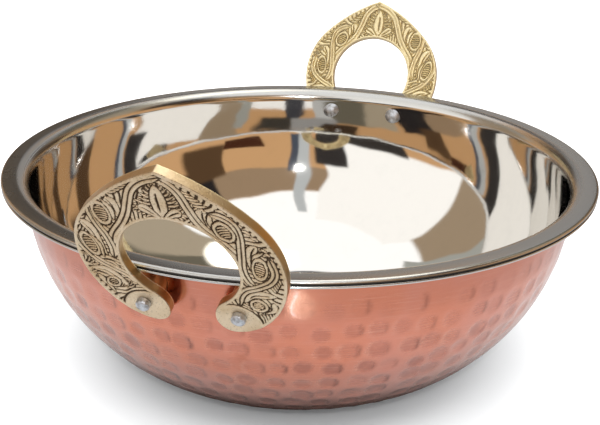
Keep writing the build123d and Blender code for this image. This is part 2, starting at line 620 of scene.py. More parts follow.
def arc(start: np.ndarray, way: np.ndarray, end: np.ndarray, count: int) -> tuple[np.ndarray, np.ndarray]:
    """An arc that leaves a point along a direction and ends at another point.

    Args:
        start: Where it starts.
        way: The direction that it starts in, of length 1.
        end: Where it ends.
        count: How many steps it has.

    Returns:
        Its points, and the direction at its end.
    """
    chord = end - start
    bend = math.atan2(way[0] * chord[1] - way[1] * chord[0], float(way @ chord))
    left = np.array([-way[1], way[0]])
    centre = start + left * np.hypot(*chord) / (2 * math.sin(bend))
    turns = np.linspace(0.0, 2 * bend, count + 1)
    return centre + turned(start - centre, turns), turned(way, 2 * bend)


def lengths(points: np.ndarray) -> np.ndarray:
    """How far along a line each of its points lies."""
    steps = np.hypot(*np.diff(points, axis=0).T)
    return np.concatenate([[0.0], np.cumsum(steps)])


def smoothstep(values: np.ndarray, low: float, high: Union[float, np.ndarray]) -> np.ndarray:
    """A smooth step from 0 at low to 1 at high.

    Args:
        values: The values to step.
        low: Where the step starts. It may be the higher one, for a falling step.
        high: Where it ends.

    Returns:
        Values from 0 to 1.
    """
    share = np.clip((values - low) / (high - low), 0.0, 1.0)
    return share * share * (3 - 2 * share)


@dataclass(frozen=True)
class Wall:
    """The bowl's wall in section: sizes of the shell's outside and of the sheets, in metres."""

    rim_radius: float
    rim_height: float
    shell_inset: float = 8.7 * MM
    foot_radius: float = 41 * MM
    knee_radius: float = 58 * MM
    knee_turn: float = math.radians(41.7)
    fullness: float = 0.636
    collar: float = 0.5 * MM
    flare_radius: float = 5.2 * MM
    steel: float = 0.8 * MM
    copper: float = 0.7 * MM
    ply_gap: float = 0.05 * MM
    hem_return: float = 0.82
    steps: int = 160

    @property
    def stack(self) -> float:
        """The thickness of both sheets."""
        return self.steel + self.ply_gap + self.copper

    @property
    def hem_stack(self) -> float:
        """The thickness of the rolled rim."""
        return self.stack + self.ply_gap + self.steel

    @property
    def flange_end(self) -> float:
        """The radius at which the rim starts to roll under."""
        return self.rim_radius - self.hem_stack / 2

    @property
    def flange_start(self) -> float:
        """The radius at which the flare is level."""
        return self.rim_radius - self.shell_inset - self.stack + self.flare_radius

    def sections(self, depth: float) -> dict[str, np.ndarray]:
        """The wall's line, in its sections.

        Args:
            depth: How far inside the shell's outside it lies.

        Returns:
            The (radius, height) points of the foot, knee, side and flare, in order outwards.
        """
        flare_height = self.rim_height - self.flare_radius
        side_height = flare_height - self.collar
        wall = self.rim_radius - self.shell_inset - depth
        radius = self.knee_radius - depth
        turns = np.linspace(0.0, self.knee_turn, self.steps)
        knee = np.stack(
            [self.foot_radius + radius * np.sin(turns), self.knee_radius - radius * np.cos(turns)], axis=1
        )
        join = knee[-1]
        top = np.array([wall, side_height])
        corner = np.array([wall, join[1] + (wall - join[0]) * math.tan(self.knee_turn)])
        leave = join + (corner - join) * self.fullness
        arrive = top + (corner - top) * self.fullness
        share = np.linspace(0.0, 1.0, self.steps)[:, None]
        side = (
            join * (1 - share) ** 3
            + 3 * leave * share * (1 - share) ** 2
            + 3 * arrive * share**2 * (1 - share)
            + top * share**3
        )
        bend = self.flare_radius - self.stack + depth
        turns = np.linspace(0.0, math.pi / 2, self.steps // 4)
        flare = np.stack([wall + bend * (1 - np.cos(turns)), flare_height + bend * np.sin(turns)], axis=1)
        foot = np.array([[0.0, depth], [self.foot_radius, depth]])
        return {"foot": foot, "knee": knee, "side": side, "flare": flare}

    def climb(self, depth: float) -> np.ndarray:
        """The wall's knee and side as one line, from the foot's edge to the flare.

        Args:
            depth: How far inside the shell's outside it lies.

        Returns:
            Its (radius, height) points.
        """
        parts = self.sections(depth)
        return np.concatenate([parts["knee"], parts["side"][1:]])

    def radius_at(self, height: float, depth: float) -> float:
        """The wall's radius at a height.

        Args:
            height: The height above the floor.
            depth: How far inside the shell's outside.

        Returns:
            The radius.
        """
        parts = self.sections(depth)
        line = np.concatenate([parts["knee"], parts["side"], parts["flare"]])
        return float(np.interp(height, line[:, 1], line[:, 0]))


def spread(line: np.ndarray, spacing: float) -> np.ndarray:
    """A line's points, moved to even spacing.

    Args:
        line: The line's points.
        spacing: The spacing wanted.

    Returns:
        The new points.
    """
    along = lengths(line)
    count = max(2, round(along[-1] / spacing) + 1)
    places = np.linspace(0.0, along[-1], count)
    return np.stack([np.interp(places, along, line[:, axis]) for axis in (0, 1)], axis=1)


def spin(rings: np.ndarray, columns: int) -> tuple[np.ndarray, Faces]:
    """Turns a closed section, whose two ends lie on the axis, into points and faces.

    Args:
        rings: (radius, height) for each ring and column, or for each ring alone. The ends are poles.
        columns: How many columns go round.

    Returns:
        The points and the faces.
    """
    if rings.ndim == 2:
        rings = np.repeat(rings[:, None, :], columns, axis=1)
    middle = rings[1:-1]
    turns = np.arange(columns) * 2 * math.pi / columns
    points = np.stack(
        [middle[:, :, 0] * np.cos(turns), middle[:, :, 0] * np.sin(turns), middle[:, :, 1]], axis=2
    ).reshape(-1, 3)
    poles = np.array([[0.0, 0.0, rings[0, 0, 1]], [0.0, 0.0, rings[-1, 0, 1]]])
    points = np.concatenate([points, poles])
    first, last = len(points) - 2, len(points) - 1
    rows = len(middle)
    here = np.arange(columns)
    following = (here + 1) % columns
    faces: Faces = []
    for row in range(rows - 1):
        low = row * columns
        high = low + columns
        faces += tiles(low + here, low + following, high + following, high + here)
    top = (rows - 1) * columns
    faces += tiles(np.full(columns, first), following, here)
    faces += tiles(np.full(columns, last), top + here, top + following)
    return points, faces


@dataclass
class CopperShell:
    """The outer shell: copper sheet, hammered in rows from below the rim down to the foot."""

    wall: Wall
    columns: int = 680
    ring_spacing: float = 1.0 * MM
    mark_width: float = 9.2 * MM
    mark_pitch: float = 8.4 * MM
    mark_radius: float = 4.35 * MM
    mark_depth: float = 0.34 * MM
    wander: float = 0.85 * MM
    wander_up_share: float = 0.7
    least_strength: float = 0.25
    reach_range: Range = (0.82, 1.1)
    force_range: Range = (0.5, 1.15)
    dullness_range: Range = (0.15, 1.0)
    # Ranges of each mark's painted shade strength and painted highlight strength.
    shade_pick_range: Range = (-0.2, 1.0)
    painted_glint_range: Range = (0.0, 1.0)
    mark_edge: Range = (1.02, 0.52)
    # Where and how wide the crescents of painted shade and painted highlight lie at a mark's edge, and on
    # which side.
    crescent_place: float = 0.8
    crescent_width: float = 0.18
    crease_shade_side: Range = (0.4, 0.95)
    painted_glint_side: Range = (-0.3, -0.9)
    plain_band: float = 9 * MM
    full_band: float = 26 * MM
    foot_band: float = 26 * MM
    foot_rings: int = 8
    flare_spacing: float = 1.0 * MM
    hidden_spacing: float = 9 * MM
    hidden_flare_spacing: float = 2 * MM
    sharp_angle: float = 50.0

    def marks(self, line: np.ndarray) -> dict[str, np.ndarray]:
        """What the hammer has left at each ring and column.

        Args:
            line: The outside's points.

        Returns:
            The depth, as a share of the full one, how dull a mark is, how dark the painted shade is in a
            crescent on one side of its edge, and how bright the painted highlight is on the other side, by
            name.
        """
        random = np.random.RandomState(SEED)
        along = lengths(line)
        end = along[-1]
        turns = np.arange(self.columns) * 2 * math.pi / self.columns
        fields = {name: np.zeros((len(line), self.columns)) for name in ("depth", "mark", "crease", "painted_glint")}
        rows = int((end - self.plain_band) / self.mark_pitch)
        for row in range(rows + 1):
            middle = end - self.plain_band - row * self.mark_pitch
            growth = smoothstep(np.array(end - middle), self.plain_band, self.full_band)
            strength = self.least_strength + (1 - self.least_strength) * growth
            radius = float(np.interp(middle, along, line[:, 0]))
            count = round(2 * math.pi * radius / self.mark_width)
            shift = random.uniform(0.0, 2 * math.pi)
            for mark in range(count):
                place = shift + 2 * math.pi * mark / count + random.normal(0.0, self.wander) / radius
                height = middle + random.normal(0.0, self.wander * self.wander_up_share)
                reach = self.mark_radius * random.uniform(*self.reach_range)
                force = strength * random.uniform(*self.force_range)
                dullness = random.uniform(*self.dullness_range)
                # Random strengths of this mark's painted shade and painted highlight.
                shade_pick = random.uniform(*self.shade_pick_range)
                rise = random.uniform(*self.painted_glint_range)
                crease_shade = (1 + strength) / 2 * max(shade_pick, 0.0)
                near = np.abs(along - height) < reach
                off = (turns - place + math.pi) % (2 * math.pi) - math.pi
                close = np.abs(off) * radius < reach
                across = off[close][None, :] * line[near, 0][:, None]
                up = (along[near] - height)[:, None]
                out = np.hypot(across, up) / reach
                side = across / np.maximum(out * reach, 1e-9)
                edge = np.exp(-(((out - self.crescent_place) / self.crescent_width) ** 2))
                shares = {
                    "depth": force * np.clip(1 - out**2, 0.0, 1.0),
                    "mark": strength * dullness * smoothstep(out, *self.mark_edge),
                    # Painted shade in a crescent on one side of the mark's edge, stored as crease.
                    "crease": crease_shade * edge * smoothstep(side, *self.crease_shade_side),
                    # Painted highlight in a crescent on the other side of the mark's edge.
                    "painted_glint": strength * rise * edge * smoothstep(side, *self.painted_glint_side),
                }
                cells = np.ix_(near, close)
                for name, share in shares.items():
                    fields[name][cells] = np.maximum(fields[name][cells], share)
        return fields

    def build(self) -> bpy.types.Object:
        """Builds the shell.

        Returns:
            The piece, which stands for the plain shell.
        """
        wall = self.wall
        surface = wall.climb(0.0)
        line = spread(surface, self.ring_spacing)
        fields = self.marks(line)
        along = lengths(surface)
        places = np.linspace(0.0, along[-1], len(line))
        deeper = (wall.climb(MM) - surface).T
        inward = np.stack([np.interp(places, along, part) for part in deeper], axis=1) / MM
        fade = smoothstep(places, 0.0, self.foot_band)[:, None]
        dent = (fields.pop("depth") * fade * self.mark_depth)[:, :, None]
        hammered = line[:, None, :] + inward[:, None, :] * dent
        foot_radii = np.linspace(0.0, wall.foot_radius, self.foot_rings + 1)[:-1]
        foot = np.stack([foot_radii, np.zeros(self.foot_rings)], axis=1)
        edge = wall.flange_end
        top = wall.rim_height - wall.stack
        flare = spread(wall.sections(0.0)["flare"], self.flare_spacing)
        lip = np.array([[edge, top], [edge, top + wall.copper], [wall.flange_start, top + wall.copper]])
        flare_inside = spread(wall.sections(wall.copper)["flare"], self.hidden_flare_spacing)[::-1][1:]
        inside = spread(wall.climb(wall.copper), self.hidden_spacing)[::-1]
        back = np.array([[wall.foot_radius / 2, wall.copper], [0.0, wall.copper]])

        def round_off(part: np.ndarray) -> np.ndarray:
            """The same section in every column."""
            return np.repeat(part[:, None, :], self.columns, axis=1)

        rings = np.concatenate(
            [round_off(foot), hammered]
            + [round_off(part) for part in (flare, lip, flare_inside, inside, back)]
        )
        points, faces = spin(rings, self.columns)
        values = {}
        for name, field_values in fields.items():
            whole = np.zeros(rings.shape[:2])
            whole[len(foot) : len(foot) + len(line)] = field_values * fade
            values[name] = np.concatenate([whole[1:-1].ravel(), [0.0, 0.0]])
        piece = build_mesh("hammered_copper_shell", points, faces, Finish.COPPER, self.sharp_angle, values)
        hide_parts("copper_shell")
        piece.visible_diffuse = False
        return piece


@dataclass
class SteelBowl:
    """The inner bowl: spun steel whose rim is rolled round the copper's edge."""

    wall: Wall
    columns: int = 400
    inside_spacing: float = 1.1 * MM
    flare_spacing: float = 0.5 * MM
    hidden_spacing: float = 6 * MM
    hidden_flare_spacing: float = 1.0 * MM
    easing: int = 8
    roll_steps: int = 14
    roll_end: float = math.radians(6)
    groove_depth: float = 0.6 * MM
    groove_height: float = 0.75 * MM
    lip_radius: float = 0.5 * MM
    lip_drop: float = 1.7
    lip_steps: int = 8
    same: float = 0.01 * MM
    sharp_angle: float = 40.0

    def eased(self, line: np.ndarray) -> np.ndarray:
        """The inside's line with its bends eased, so that reflections run on over them.

        Args:
            line: The line's points.

        Returns:
            Evenly spaced points.
        """
        even = spread(line, self.inside_spacing)
        reach = self.easing
        padded = np.pad(even, ((reach, reach), (0, 0)), mode="reflect", reflect_type="odd")
        weights = np.hanning(2 * reach + 3)[1:-1]
        weights /= weights.sum()
        return np.stack([np.convolve(padded[:, axis], weights, mode="valid") for axis in (0, 1)], axis=1)

    def roll(self, radius: float, upwards: bool) -> np.ndarray:
        """A half turn of the rolled rim.

        Args:
            radius: The roll's radius.
            upwards: True if it runs from under the rim to its top.

        Returns:
            Its (radius, height) points.
        """
        wall = self.wall
        turns = np.linspace(math.pi / 2, -math.pi / 2, self.roll_steps)
        middle = wall.rim_height - wall.hem_stack / 2
        line = np.stack([wall.flange_end + radius * np.cos(turns), middle + radius * np.sin(turns)], axis=1)
        return line[::-1] if upwards else line

    def lip(self, last: np.ndarray, below: float) -> np.ndarray:
        """The sheet's crimped edge, a thin bead in the shadow groove under the rolled rim.

        Args:
            last: The (radius, height) point where the roll ends.
            below: The height of the rolled rim's underside.

        Returns:
            Its (radius, height) points, from the groove round to the underside.
        """
        radius = self.lip_radius
        inner = last[0] - self.groove_depth
        turns = np.linspace(math.pi / 2, -math.pi / 2, self.lip_steps)
        top = last[1] - self.groove_height
        bead = np.stack([inner + radius * np.cos(turns), top - radius + radius * np.sin(turns)], axis=1)
        back = inner - radius
        foot = [[back, top - self.lip_drop * radius], [back, below]]
        return np.concatenate([[[inner, last[1]]], bead, foot])

    def build(self) -> bpy.types.Object:
        """Builds the bowl.

        Returns:
            The piece, which stands for the plain bowl.
        """
        wall = self.wall
        top = wall.sections(wall.stack)
        under = wall.sections(wall.stack - wall.steel)
        hem_end = wall.flange_end - wall.hem_return * (wall.flange_end - wall.flange_start)
        below = wall.rim_height - wall.hem_stack
        outer = self.roll(wall.hem_stack / 2, upwards=False)
        outer = outer[outer[:, 1] >= wall.rim_height - wall.hem_stack / 2 * (1 - math.sin(self.roll_end))]
        inner = self.roll(wall.hem_stack / 2 - wall.steel, upwards=True)
        inside = self.eased(np.concatenate([top["foot"][:1], wall.climb(wall.stack)]))
        outside = spread(wall.climb(wall.stack - wall.steel), self.hidden_spacing)
        rings = np.concatenate(
            [
                inside,
                spread(top["flare"], self.flare_spacing)[1:],
                outer,
                self.lip(outer[-1], below),
                [[hem_end, below], [hem_end, below + wall.steel]],
                inner,
                spread(under["flare"], self.hidden_flare_spacing)[::-1],
                outside[::-1][1:],
                [[0.0, wall.stack - wall.steel]],
            ]
        )
        points, faces = spin(rings, self.columns)
        # The groove under the rolled rim, which the finish darkens as painted shade.
        outward = np.hypot(points[:, 0], points[:, 1]) > wall.flange_end
        groove = outer[-1, 1]
        level = (points[:, 2] < groove + self.same) & (points[:, 2] > groove - self.groove_height - self.same)
        fields = {"groove_shade": outward & level}
        faces = [tuple(reversed(face)) for face in faces]
        piece = build_mesh("polished_steel_bowl", points, faces, Finish.STEEL, self.sharp_angle, fields)
        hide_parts("steel_bowl")
        return piece


class Form(Enum):
    """How a carved stroke's width runs along it, and whether it stands up or is cut in."""

    STRAND = "even"
    VINE = "even, with a groove along its middle"
    LEAF = "pointed at both ends"
    COMMA = "round at its start and pointed at its end"
    CUT = "cut in, pointed at both ends"


@dataclass(frozen=True)
class Stroke:
    """One line of the carving: a smooth curve through points across and up the face, in millimetres."""

    form: Form
    half_width: float
    points: tuple[Spot, ...]
    steps: ClassVar[int] = 7
    thinnest_point: ClassVar[float] = 0.02
    head_share: ClassVar[float] = 0.25
    tail_power: ClassVar[float] = 0.6
    thinnest_tail: ClassVar[float] = 0.15
    end_share: ClassVar[float] = 0.07
    thinnest_end: ClassVar[float] = 0.12

    def curve(self) -> np.ndarray:
        """The stroke's line, smoothed through its points.

        Returns:
            Its points.
        """
        knots = np.array(self.points, dtype=float)
        before_first, after_last = 2 * knots[0] - knots[1], 2 * knots[-1] - knots[-2]
        knots = np.concatenate([[before_first], knots, [after_last]])
        share = np.linspace(0.0, 1.0, self.steps + 1)[:-1, None]
        pieces = []
        for before, start, end, after in zip(knots, knots[1:], knots[2:], knots[3:]):
            pieces.append(
                0.5
                * (
                    2 * start
                    + (end - before) * share
                    + (2 * before - 5 * start + 4 * end - after) * share**2
                    + (3 * start - before - 3 * end + after) * share**3
                )
            )
        return np.concatenate([*pieces, knots[-2:-1]])

    def width_at(self, share: np.ndarray) -> np.ndarray:
        """The half width along the stroke.

        Args:
            share: How far along, from 0 to 1.

        Returns:
            The half width there, in millimetres.
        """
        if self.form in (Form.LEAF, Form.CUT):
            return self.half_width * np.sqrt(np.clip(np.sin(math.pi * share), self.thinnest_point, 1.0))
        if self.form is Form.COMMA:
            into = np.clip(share / self.head_share, 0.0, 1.0)
            drop = np.sqrt(into * (2 - into)) * (1 - share) ** self.tail_power
            return self.half_width * np.clip(drop, self.thinnest_tail, 1.0)
        ends = np.minimum(share, 1 - share) / self.end_share
        return self.half_width * np.sqrt(np.clip(ends, self.thinnest_end, 1.0))


@dataclass(frozen=True)
class Eye:
    """A carved seed: an oval crossed by fine bars, inside a raised ring. Millimetres and degrees."""

    centre: Spot
    half_across: float
    half_up: float
    tilt: float
    bars: int = 6
    ring: float = 1.05
    ring_core: ClassVar[float] = 0.26
    bow: ClassVar[tuple[float, float]] = (0.18, 0.10)
    bar_range: ClassVar[Range] = (0.25, 0.75)
    bar_end: ClassVar[Range] = (-0.15, -0.4)
    bar_top: ClassVar[float] = 0.92
    moat_place: ClassVar[float] = 0.2
    moat_range: ClassVar[Range] = (0.1, 0.3)
    moat_end: ClassVar[float] = 0.4


VINES: tuple[Stroke, ...] = (
    Stroke(
        Form.VINE,
        1.45,
        (
            (-1.2, 40.6), (2.8, 38.6), (5.7, 35.0), (7.6, 29.3),
            (10.0, 23.8), (14.6, 18.6), (18.9, 13.2), (20.0, 9),
        ),
    ),
    Stroke(
        Form.VINE,
        1.45,
        (
            (1.2, 40.6), (-4.6, 38.4), (-8.6, 34.6), (-10.8, 29.3),
            (-12.3, 25), (-14.8, 20.4), (-18.6, 15), (-20, 10),
        ),
    ),
    Stroke(
        Form.VINE,
        1.25,
        (
            (13.4, 28.8), (17, 28), (20, 25.6), (21.1, 21),
            (20.6, 14), (20, 7.5), (21, 2.8), (23, 0.4),
        ),
    ),
    Stroke(
        Form.VINE,
        1.25,
        (
            (28.6, 13.4), (29.7, 7.6), (28, 3.3), (23.9, 0.1),
            (19.6, -2.2), (17.2, -5.7), (16.6, -9.2),
        ),
    ),
    Stroke(
        Form.VINE,
        1.25,
        (
            (-19.6, 30.8), (-22.6, 29.2), (-24, 24.9), (-23.2, 19.3),
            (-21.4, 14.4), (-20.4, 9), (-20.9, 4.5),
        ),
    ),
    Stroke(
        Form.VINE,
        1.25,
        (
            (-30.8, 15.6), (-31, 10.2), (-29.3, 6), (-26.1, 2.1),
            (-22.2, -0.3), (-17.8, -3.1), (-15.2, -6.2),
        ),
    ),
)

LEAVES: tuple[Stroke, ...] = (
    Stroke(Form.LEAF, 2.44, ((-1.0, 24.2), (-0.9, 30.5), (-1.1, 37.2))),
    Stroke(Form.COMMA, 1.94, ((-7.4, 28.9), (-4.9, 27.2), (-1.3, 24.3))),
    Stroke(Form.COMMA, 1.94, ((5.0, 27.9), (2.6, 26.9), (-0.7, 24.3))),
    Stroke(Form.COMMA, 2.19, ((11.7, 30.3), (11.1, 26.5), (13.0, 21.0))),
    Stroke(Form.COMMA, 2.38, ((-17.2, 30.3), (-15.6, 27.0), (-14.7, 21.8))),
    Stroke(Form.COMMA, 1.88, ((25.3, 18.0), (23.2, 14.5), (22.6, 7.4))),
    Stroke(Form.COMMA, 2.0, ((-28.0, 19.6), (-25.3, 15.6), (-23.0, 5.6))),
    Stroke(Form.LEAF, 1.65, ((18.4, -7.4), (21.6, -3.4), (28.8, -3.0))),
    Stroke(Form.LEAF, 1.59, ((-30.2, -1.4), (-24.6, -2.3), (-19.2, -7.6))),
    Stroke(Form.COMMA, 1.19, ((27.6, -6.2), (27.4, -9.6), (24.4, -11.6))),
    Stroke(Form.COMMA, 1.12, ((-28.6, -4.6), (-25.6, -9.8), (-24.6, -12.2))),
    Stroke(Form.LEAF, 0.85, ((-18.9, 29.2), (-17.0, 26.0), (-16.6, 21.6))),
    Stroke(Form.LEAF, 0.85, ((13.9, 29.2), (13.2, 26.0), (14.0, 22.6))),
    Stroke(Form.LEAF, 0.73, ((-26.9, 13.9), (-24.6, 10.2), (-24.3, 4.3))),
    Stroke(Form.LEAF, 0.73, ((27.2, 15.6), (24.6, 13.6), (23.6, 10.8))),
    Stroke(Form.STRAND, 0.46, ((18.6, 10.4), (18.5, 5.0), (20.4, 0.4))),
    Stroke(Form.STRAND, 0.46, ((17.8, 3.8), (18.4, 1.0), (20.0, -0.8))),
    Stroke(Form.STRAND, 0.46, ((-18.6, 12.8), (-18.7, 7.0), (-18.2, 1.0))),
    Stroke(Form.STRAND, 0.46, ((-24.6, 2.6), (-21.9, 2.0), (-19.6, -1.2))),
    Stroke(Form.LEAF, 0.92, ((15.4, 19.2), (18.6, 17.6), (19.4, 12.6))),
    Stroke(Form.LEAF, 0.92, ((-20.2, 18.8), (-18.6, 18.0), (-17.6, 16.6))),
    Stroke(Form.LEAF, 0.92, ((21.4, 1.4), (25.6, 1.6), (27.8, 4.4))),
)

SLITS: tuple[Stroke, ...] = (
    Stroke(Form.CUT, 0.53, ((-1.2, 34.6), (-1.3, 31.6), (-1.1, 27.0))),
    Stroke(Form.CUT, 0.36, ((-7.0, 28.4), (-5.0, 27.1), (-3.0, 25.6))),
    Stroke(Form.CUT, 0.36, ((4.8, 28.0), (3.0, 27.0), (0.8, 25.5))),
    Stroke(Form.CUT, 0.38, ((11.7, 29.8), (11.4, 26.8), (12.2, 23.4))),
    Stroke(Form.CUT, 0.38, ((-17.0, 29.9), (-15.9, 27.2), (-15.3, 23.9))),
    Stroke(Form.CUT, 0.34, ((25.0, 17.6), (23.6, 14.6), (23.0, 10.4))),
    Stroke(Form.CUT, 0.34, ((-27.6, 18.8), (-25.6, 15.4), (-24.2, 10.4))),
    Stroke(Form.CUT, 0.36, ((20.3, -5.3), (22.4, -3.7), (27.2, -3.1))),
    Stroke(Form.CUT, 0.36, ((-28.4, -1.6), (-24.8, -2.5), (-21.0, -5.6))),
)

EYES: tuple[Eye, ...] = (
    Eye((16.8, 22.2), 2.1, 2.9, 28, 6),
    Eye((25.3, 8.4), 1.75, 3.5, -6, 7),
    Eye((22.7, -8.3), 2.0, 1.9, 0, 5, 0.9),
    Eye((-20.3, 23.6), 2.1, 3.5, 6, 7),
    Eye((-27.6, 9.5), 1.75, 3.8, 16, 7),
    Eye((-24.0, -7.0), 1.7, 1.5, 40, 4, 0.85),
)


@dataclass(frozen=True)
class Fan:
    """A row of short carved strokes that runs from one line to another, in millimetres."""

    count: int
    roots: tuple[Spot, Spot]
    tips: tuple[Spot, Spot]
    bow: float
    half_width: float = 0.42

    def strokes(self) -> list[Stroke]:
        """The fan's strokes.

        Returns:
            One stroke for each place in the row.
        """
        made = []
        for step in range(self.count):
            share = step / max(1, self.count - 1)
            root = np.array(self.roots[0]) * (1 - share) + np.array(self.roots[1]) * share
            tip = np.array(self.tips[0]) * (1 - share) + np.array(self.tips[1]) * share
            way = tip - root
            middle = (root + tip) / 2 + self.bow * np.array([-way[1], way[0]])
            made.append(Stroke(Form.LEAF, self.half_width, (tuple(root), tuple(middle), tuple(tip))))
        return made


FANS: tuple[Fan, ...] = (
    Fan(7, ((-3.2, 28.6), (-1.8, 36.0)), ((-9.2, 29.6), (-2.6, 38.2)), 0.10),
    Fan(7, ((1.3, 28.6), (0.0, 36.0)), ((6.2, 29.8), (1.6, 37.8)), -0.10),
    Fan(6, ((-8.6, 28.2), (-2.8, 24.6)), ((-10.9, 27.4), (-4.6, 23.9)), -0.12),
    Fan(6, ((6.1, 27.8), (1.6, 24.5)), ((8.2, 26.8), (3.4, 23.6)), 0.12),
    Fan(5, ((-7.2, 37.4), (-13.2, 33.2)), ((-10.6, 36.6), (-16.6, 32.6)), 0.08, 0.5),
    Fan(5, ((5.6, 37.0), (9.4, 31.4)), ((9.4, 35.4), (13.4, 31.6)), -0.08, 0.5),
    Fan(5, ((15.6, 30.6), (24.4, 21.6)), ((18.6, 29.6), (26.6, 20.2)), 0.1, 0.5),
    Fan(5, ((-21.6, 30.6), (-26.0, 21.4)), ((-24.4, 28.2), (-28.8, 20.4)), 0.1, 0.5),
    Fan(4, ((26.6, 17.0), (29.0, 12.4)), ((28.6, 16.0), (30.6, 11.6)), 0.1, 0.44),
    Fan(4, ((-29.6, 17.6), (-26.6, 16.6)), ((-31.4, 15.0), (-28.6, 13.8)), 0.1, 0.44),
    Fan(5, ((26.6, 2.2), (29.8, 5.6)), ((29.0, -1.2), (31.0, 3.0)), 0.1, 0.45),
    Fan(4, ((-30.8, 4.6), (-27.0, 0.6)), ((-31.6, 1.0), (-29.4, 0.0)), 0.1, 0.45),
    Fan(6, ((22.2, -12.0), (27.6, -10.6)), ((23.4, -17.0), (27.6, -13.2)), 0.08, 0.45),
    Fan(5, ((-30.4, -3.8), (-26.2, -10.4)), ((-28.6, -3.2), (-24.6, -9.6)), 0.1, 0.45),
    Fan(5, ((17.6, -4.6), (16.9, -9.4)), ((19.8, -7.4), (20.4, -11.4)), 0.1, 0.38),
    Fan(5, ((-20.0, -4.6), (-17.0, -7.0)), ((-22.4, -7.6), (-19.8, -9.0)), 0.1, 0.38),
    Fan(6, ((17.4, 13.6), (17.8, 5.6)), ((19.4, 14.4), (19.2, 6.6)), 0.1, 0.38),
    Fan(6, ((-17.6, 14.8), (-18.0, 4.0)), ((-19.8, 14.4), (-19.6, 3.6)), 0.1, 0.38),
)


def distance_to(line: np.ndarray, points: np.ndarray) -> tuple[np.ndarray, np.ndarray]:
    """How far points lie from a line, and how far along it.

    Args:
        line: The line's points.
        points: The points to measure.

    Returns:
        The distances, and the nearest place along the line as a share of its length.
    """
    along = lengths(line)
    best = np.full(len(points), 1e9)
    share = np.zeros(len(points))
    for start, end, begin, finish in zip(line, line[1:], along, along[1:]):
        step = end - start
        size = float(step @ step)
        if size == 0.0:
            continue
        part = np.clip(((points - start) @ step) / size, 0.0, 1.0)
        gap = np.hypot(*(points - start - part[:, None] * step).T)
        closer = gap < best
        best[closer] = gap[closer]
        share[closer] = (begin + part[closer] * (finish - begin)) / along[-1]
    return best, share


@dataclass(frozen=True)
class HandleShape:
    """The outline of a handle, seen face on, in millimetres: across from its middle and up from the rim."""

    half_width: float = 32.9
    apex: float = 42.5
    foot: float = 22.6
    apex_slope: float = math.radians(21.5)
    loop_radius: float = 18.7
    loop_centre: float = 5.4
    pad_gap: float = 15.4
    pad_radius: float = 8.5
    shoulder: Spot = (0.76, 0.60)
    widest: Spot = (1.0, 0.12)
    hip: Spot = (0.76, 0.71)
    pad_middle: Spot = (0.44, 0.80)
    arc_steps: int = 40

    @property
    def pad(self) -> np.ndarray:
        """The middle of the right pad."""
        return np.array([self.pad_middle[0] * self.half_width, -self.pad_middle[1] * self.foot])

    @property
    def middle(self) -> np.ndarray:
        """The middle of the finger loop."""
        return np.array([0.0, self.loop_centre])

    def sides(self) -> tuple[np.ndarray, np.ndarray, np.ndarray]:
        """The right half's outline.

        Returns:
            The outer side from the apex to the pad's bottom, the sole from there to the pad's tip, and the
            inner side from the loop's top to the pad's tip.
        """
        steps = self.arc_steps
        corners = (
            (self.shoulder[0] * self.half_width, self.shoulder[1] * self.apex),
            (self.widest[0] * self.half_width, self.widest[1] * self.apex),
            (self.hip[0] * self.half_width, -self.hip[1] * self.foot),
            (self.pad[0], -self.foot),
        )
        way = np.array([math.cos(self.apex_slope), -math.sin(self.apex_slope)])
        start = np.array([0.0, self.apex])
        outer = [start[None, :]]
        for corner in corners:
            points, way = arc(start, way, np.array(corner), steps)
            start = points[-1]
            outer.append(points[1:])
        tip = np.array([self.pad_gap / 2, self.pad[1]])
        sole, way = arc(start, way, tip, steps)
        middle = self.middle
        inwards = np.array([way[1], -way[0]])
        spoke = tip - middle
        radius = (spoke @ spoke - self.loop_radius**2) / (2 * (self.loop_radius - spoke @ inwards))
        to_throat = tip + inwards * radius - middle
        touch = middle + to_throat / np.hypot(*to_throat) * self.loop_radius
        throat, _ = arc(tip, way, touch, steps)
        end = math.atan2(to_throat[1], to_throat[0])
        turns = np.linspace(math.pi / 2, end, 3 * steps)
        loop = middle + self.loop_radius * np.stack([np.cos(turns), np.sin(turns)], axis=1)
        inner = np.concatenate([loop, throat[::-1][1:]])
        return np.concatenate(outer), sole, inner

    def border(self) -> np.ndarray:
        """The whole outline as one closed line.

        Returns:
            Its points, from the apex round by the right side.
        """
        outer, sole, inner = self.sides()
        right = np.concatenate([outer, sole[1:], inner[::-1][1:]])
        left = right[::-1] * np.array([-1.0, 1.0])
        return np.concatenate([right, left[1:]])


def paced(
    line: np.ndarray, middle: np.ndarray, count: int, by_angle: float = 0.55, by_length: float = 0.45
) -> np.ndarray:
    """A side's points, spaced partly by angle about the loop and partly by length.

    Args:
        line: The side's points.
        middle: The loop's centre.
        count: How many points are wanted.
        by_angle: How much the angle counts.
        by_length: How much the length counts.

    Returns:
        The new points.
    """
    spokes = line - middle
    angles = np.unwrap(np.arctan2(spokes[:, 1], spokes[:, 0]))
    turned = np.maximum.accumulate(np.abs(angles - angles[0]))
    along = lengths(line)
    pace = by_angle * turned / turned[-1] + by_length * along / along[-1]
    places = np.linspace(0.0, 1.0, count)
    return np.stack([np.interp(places, pace, line[:, axis]) for axis in (0, 1)], axis=1)


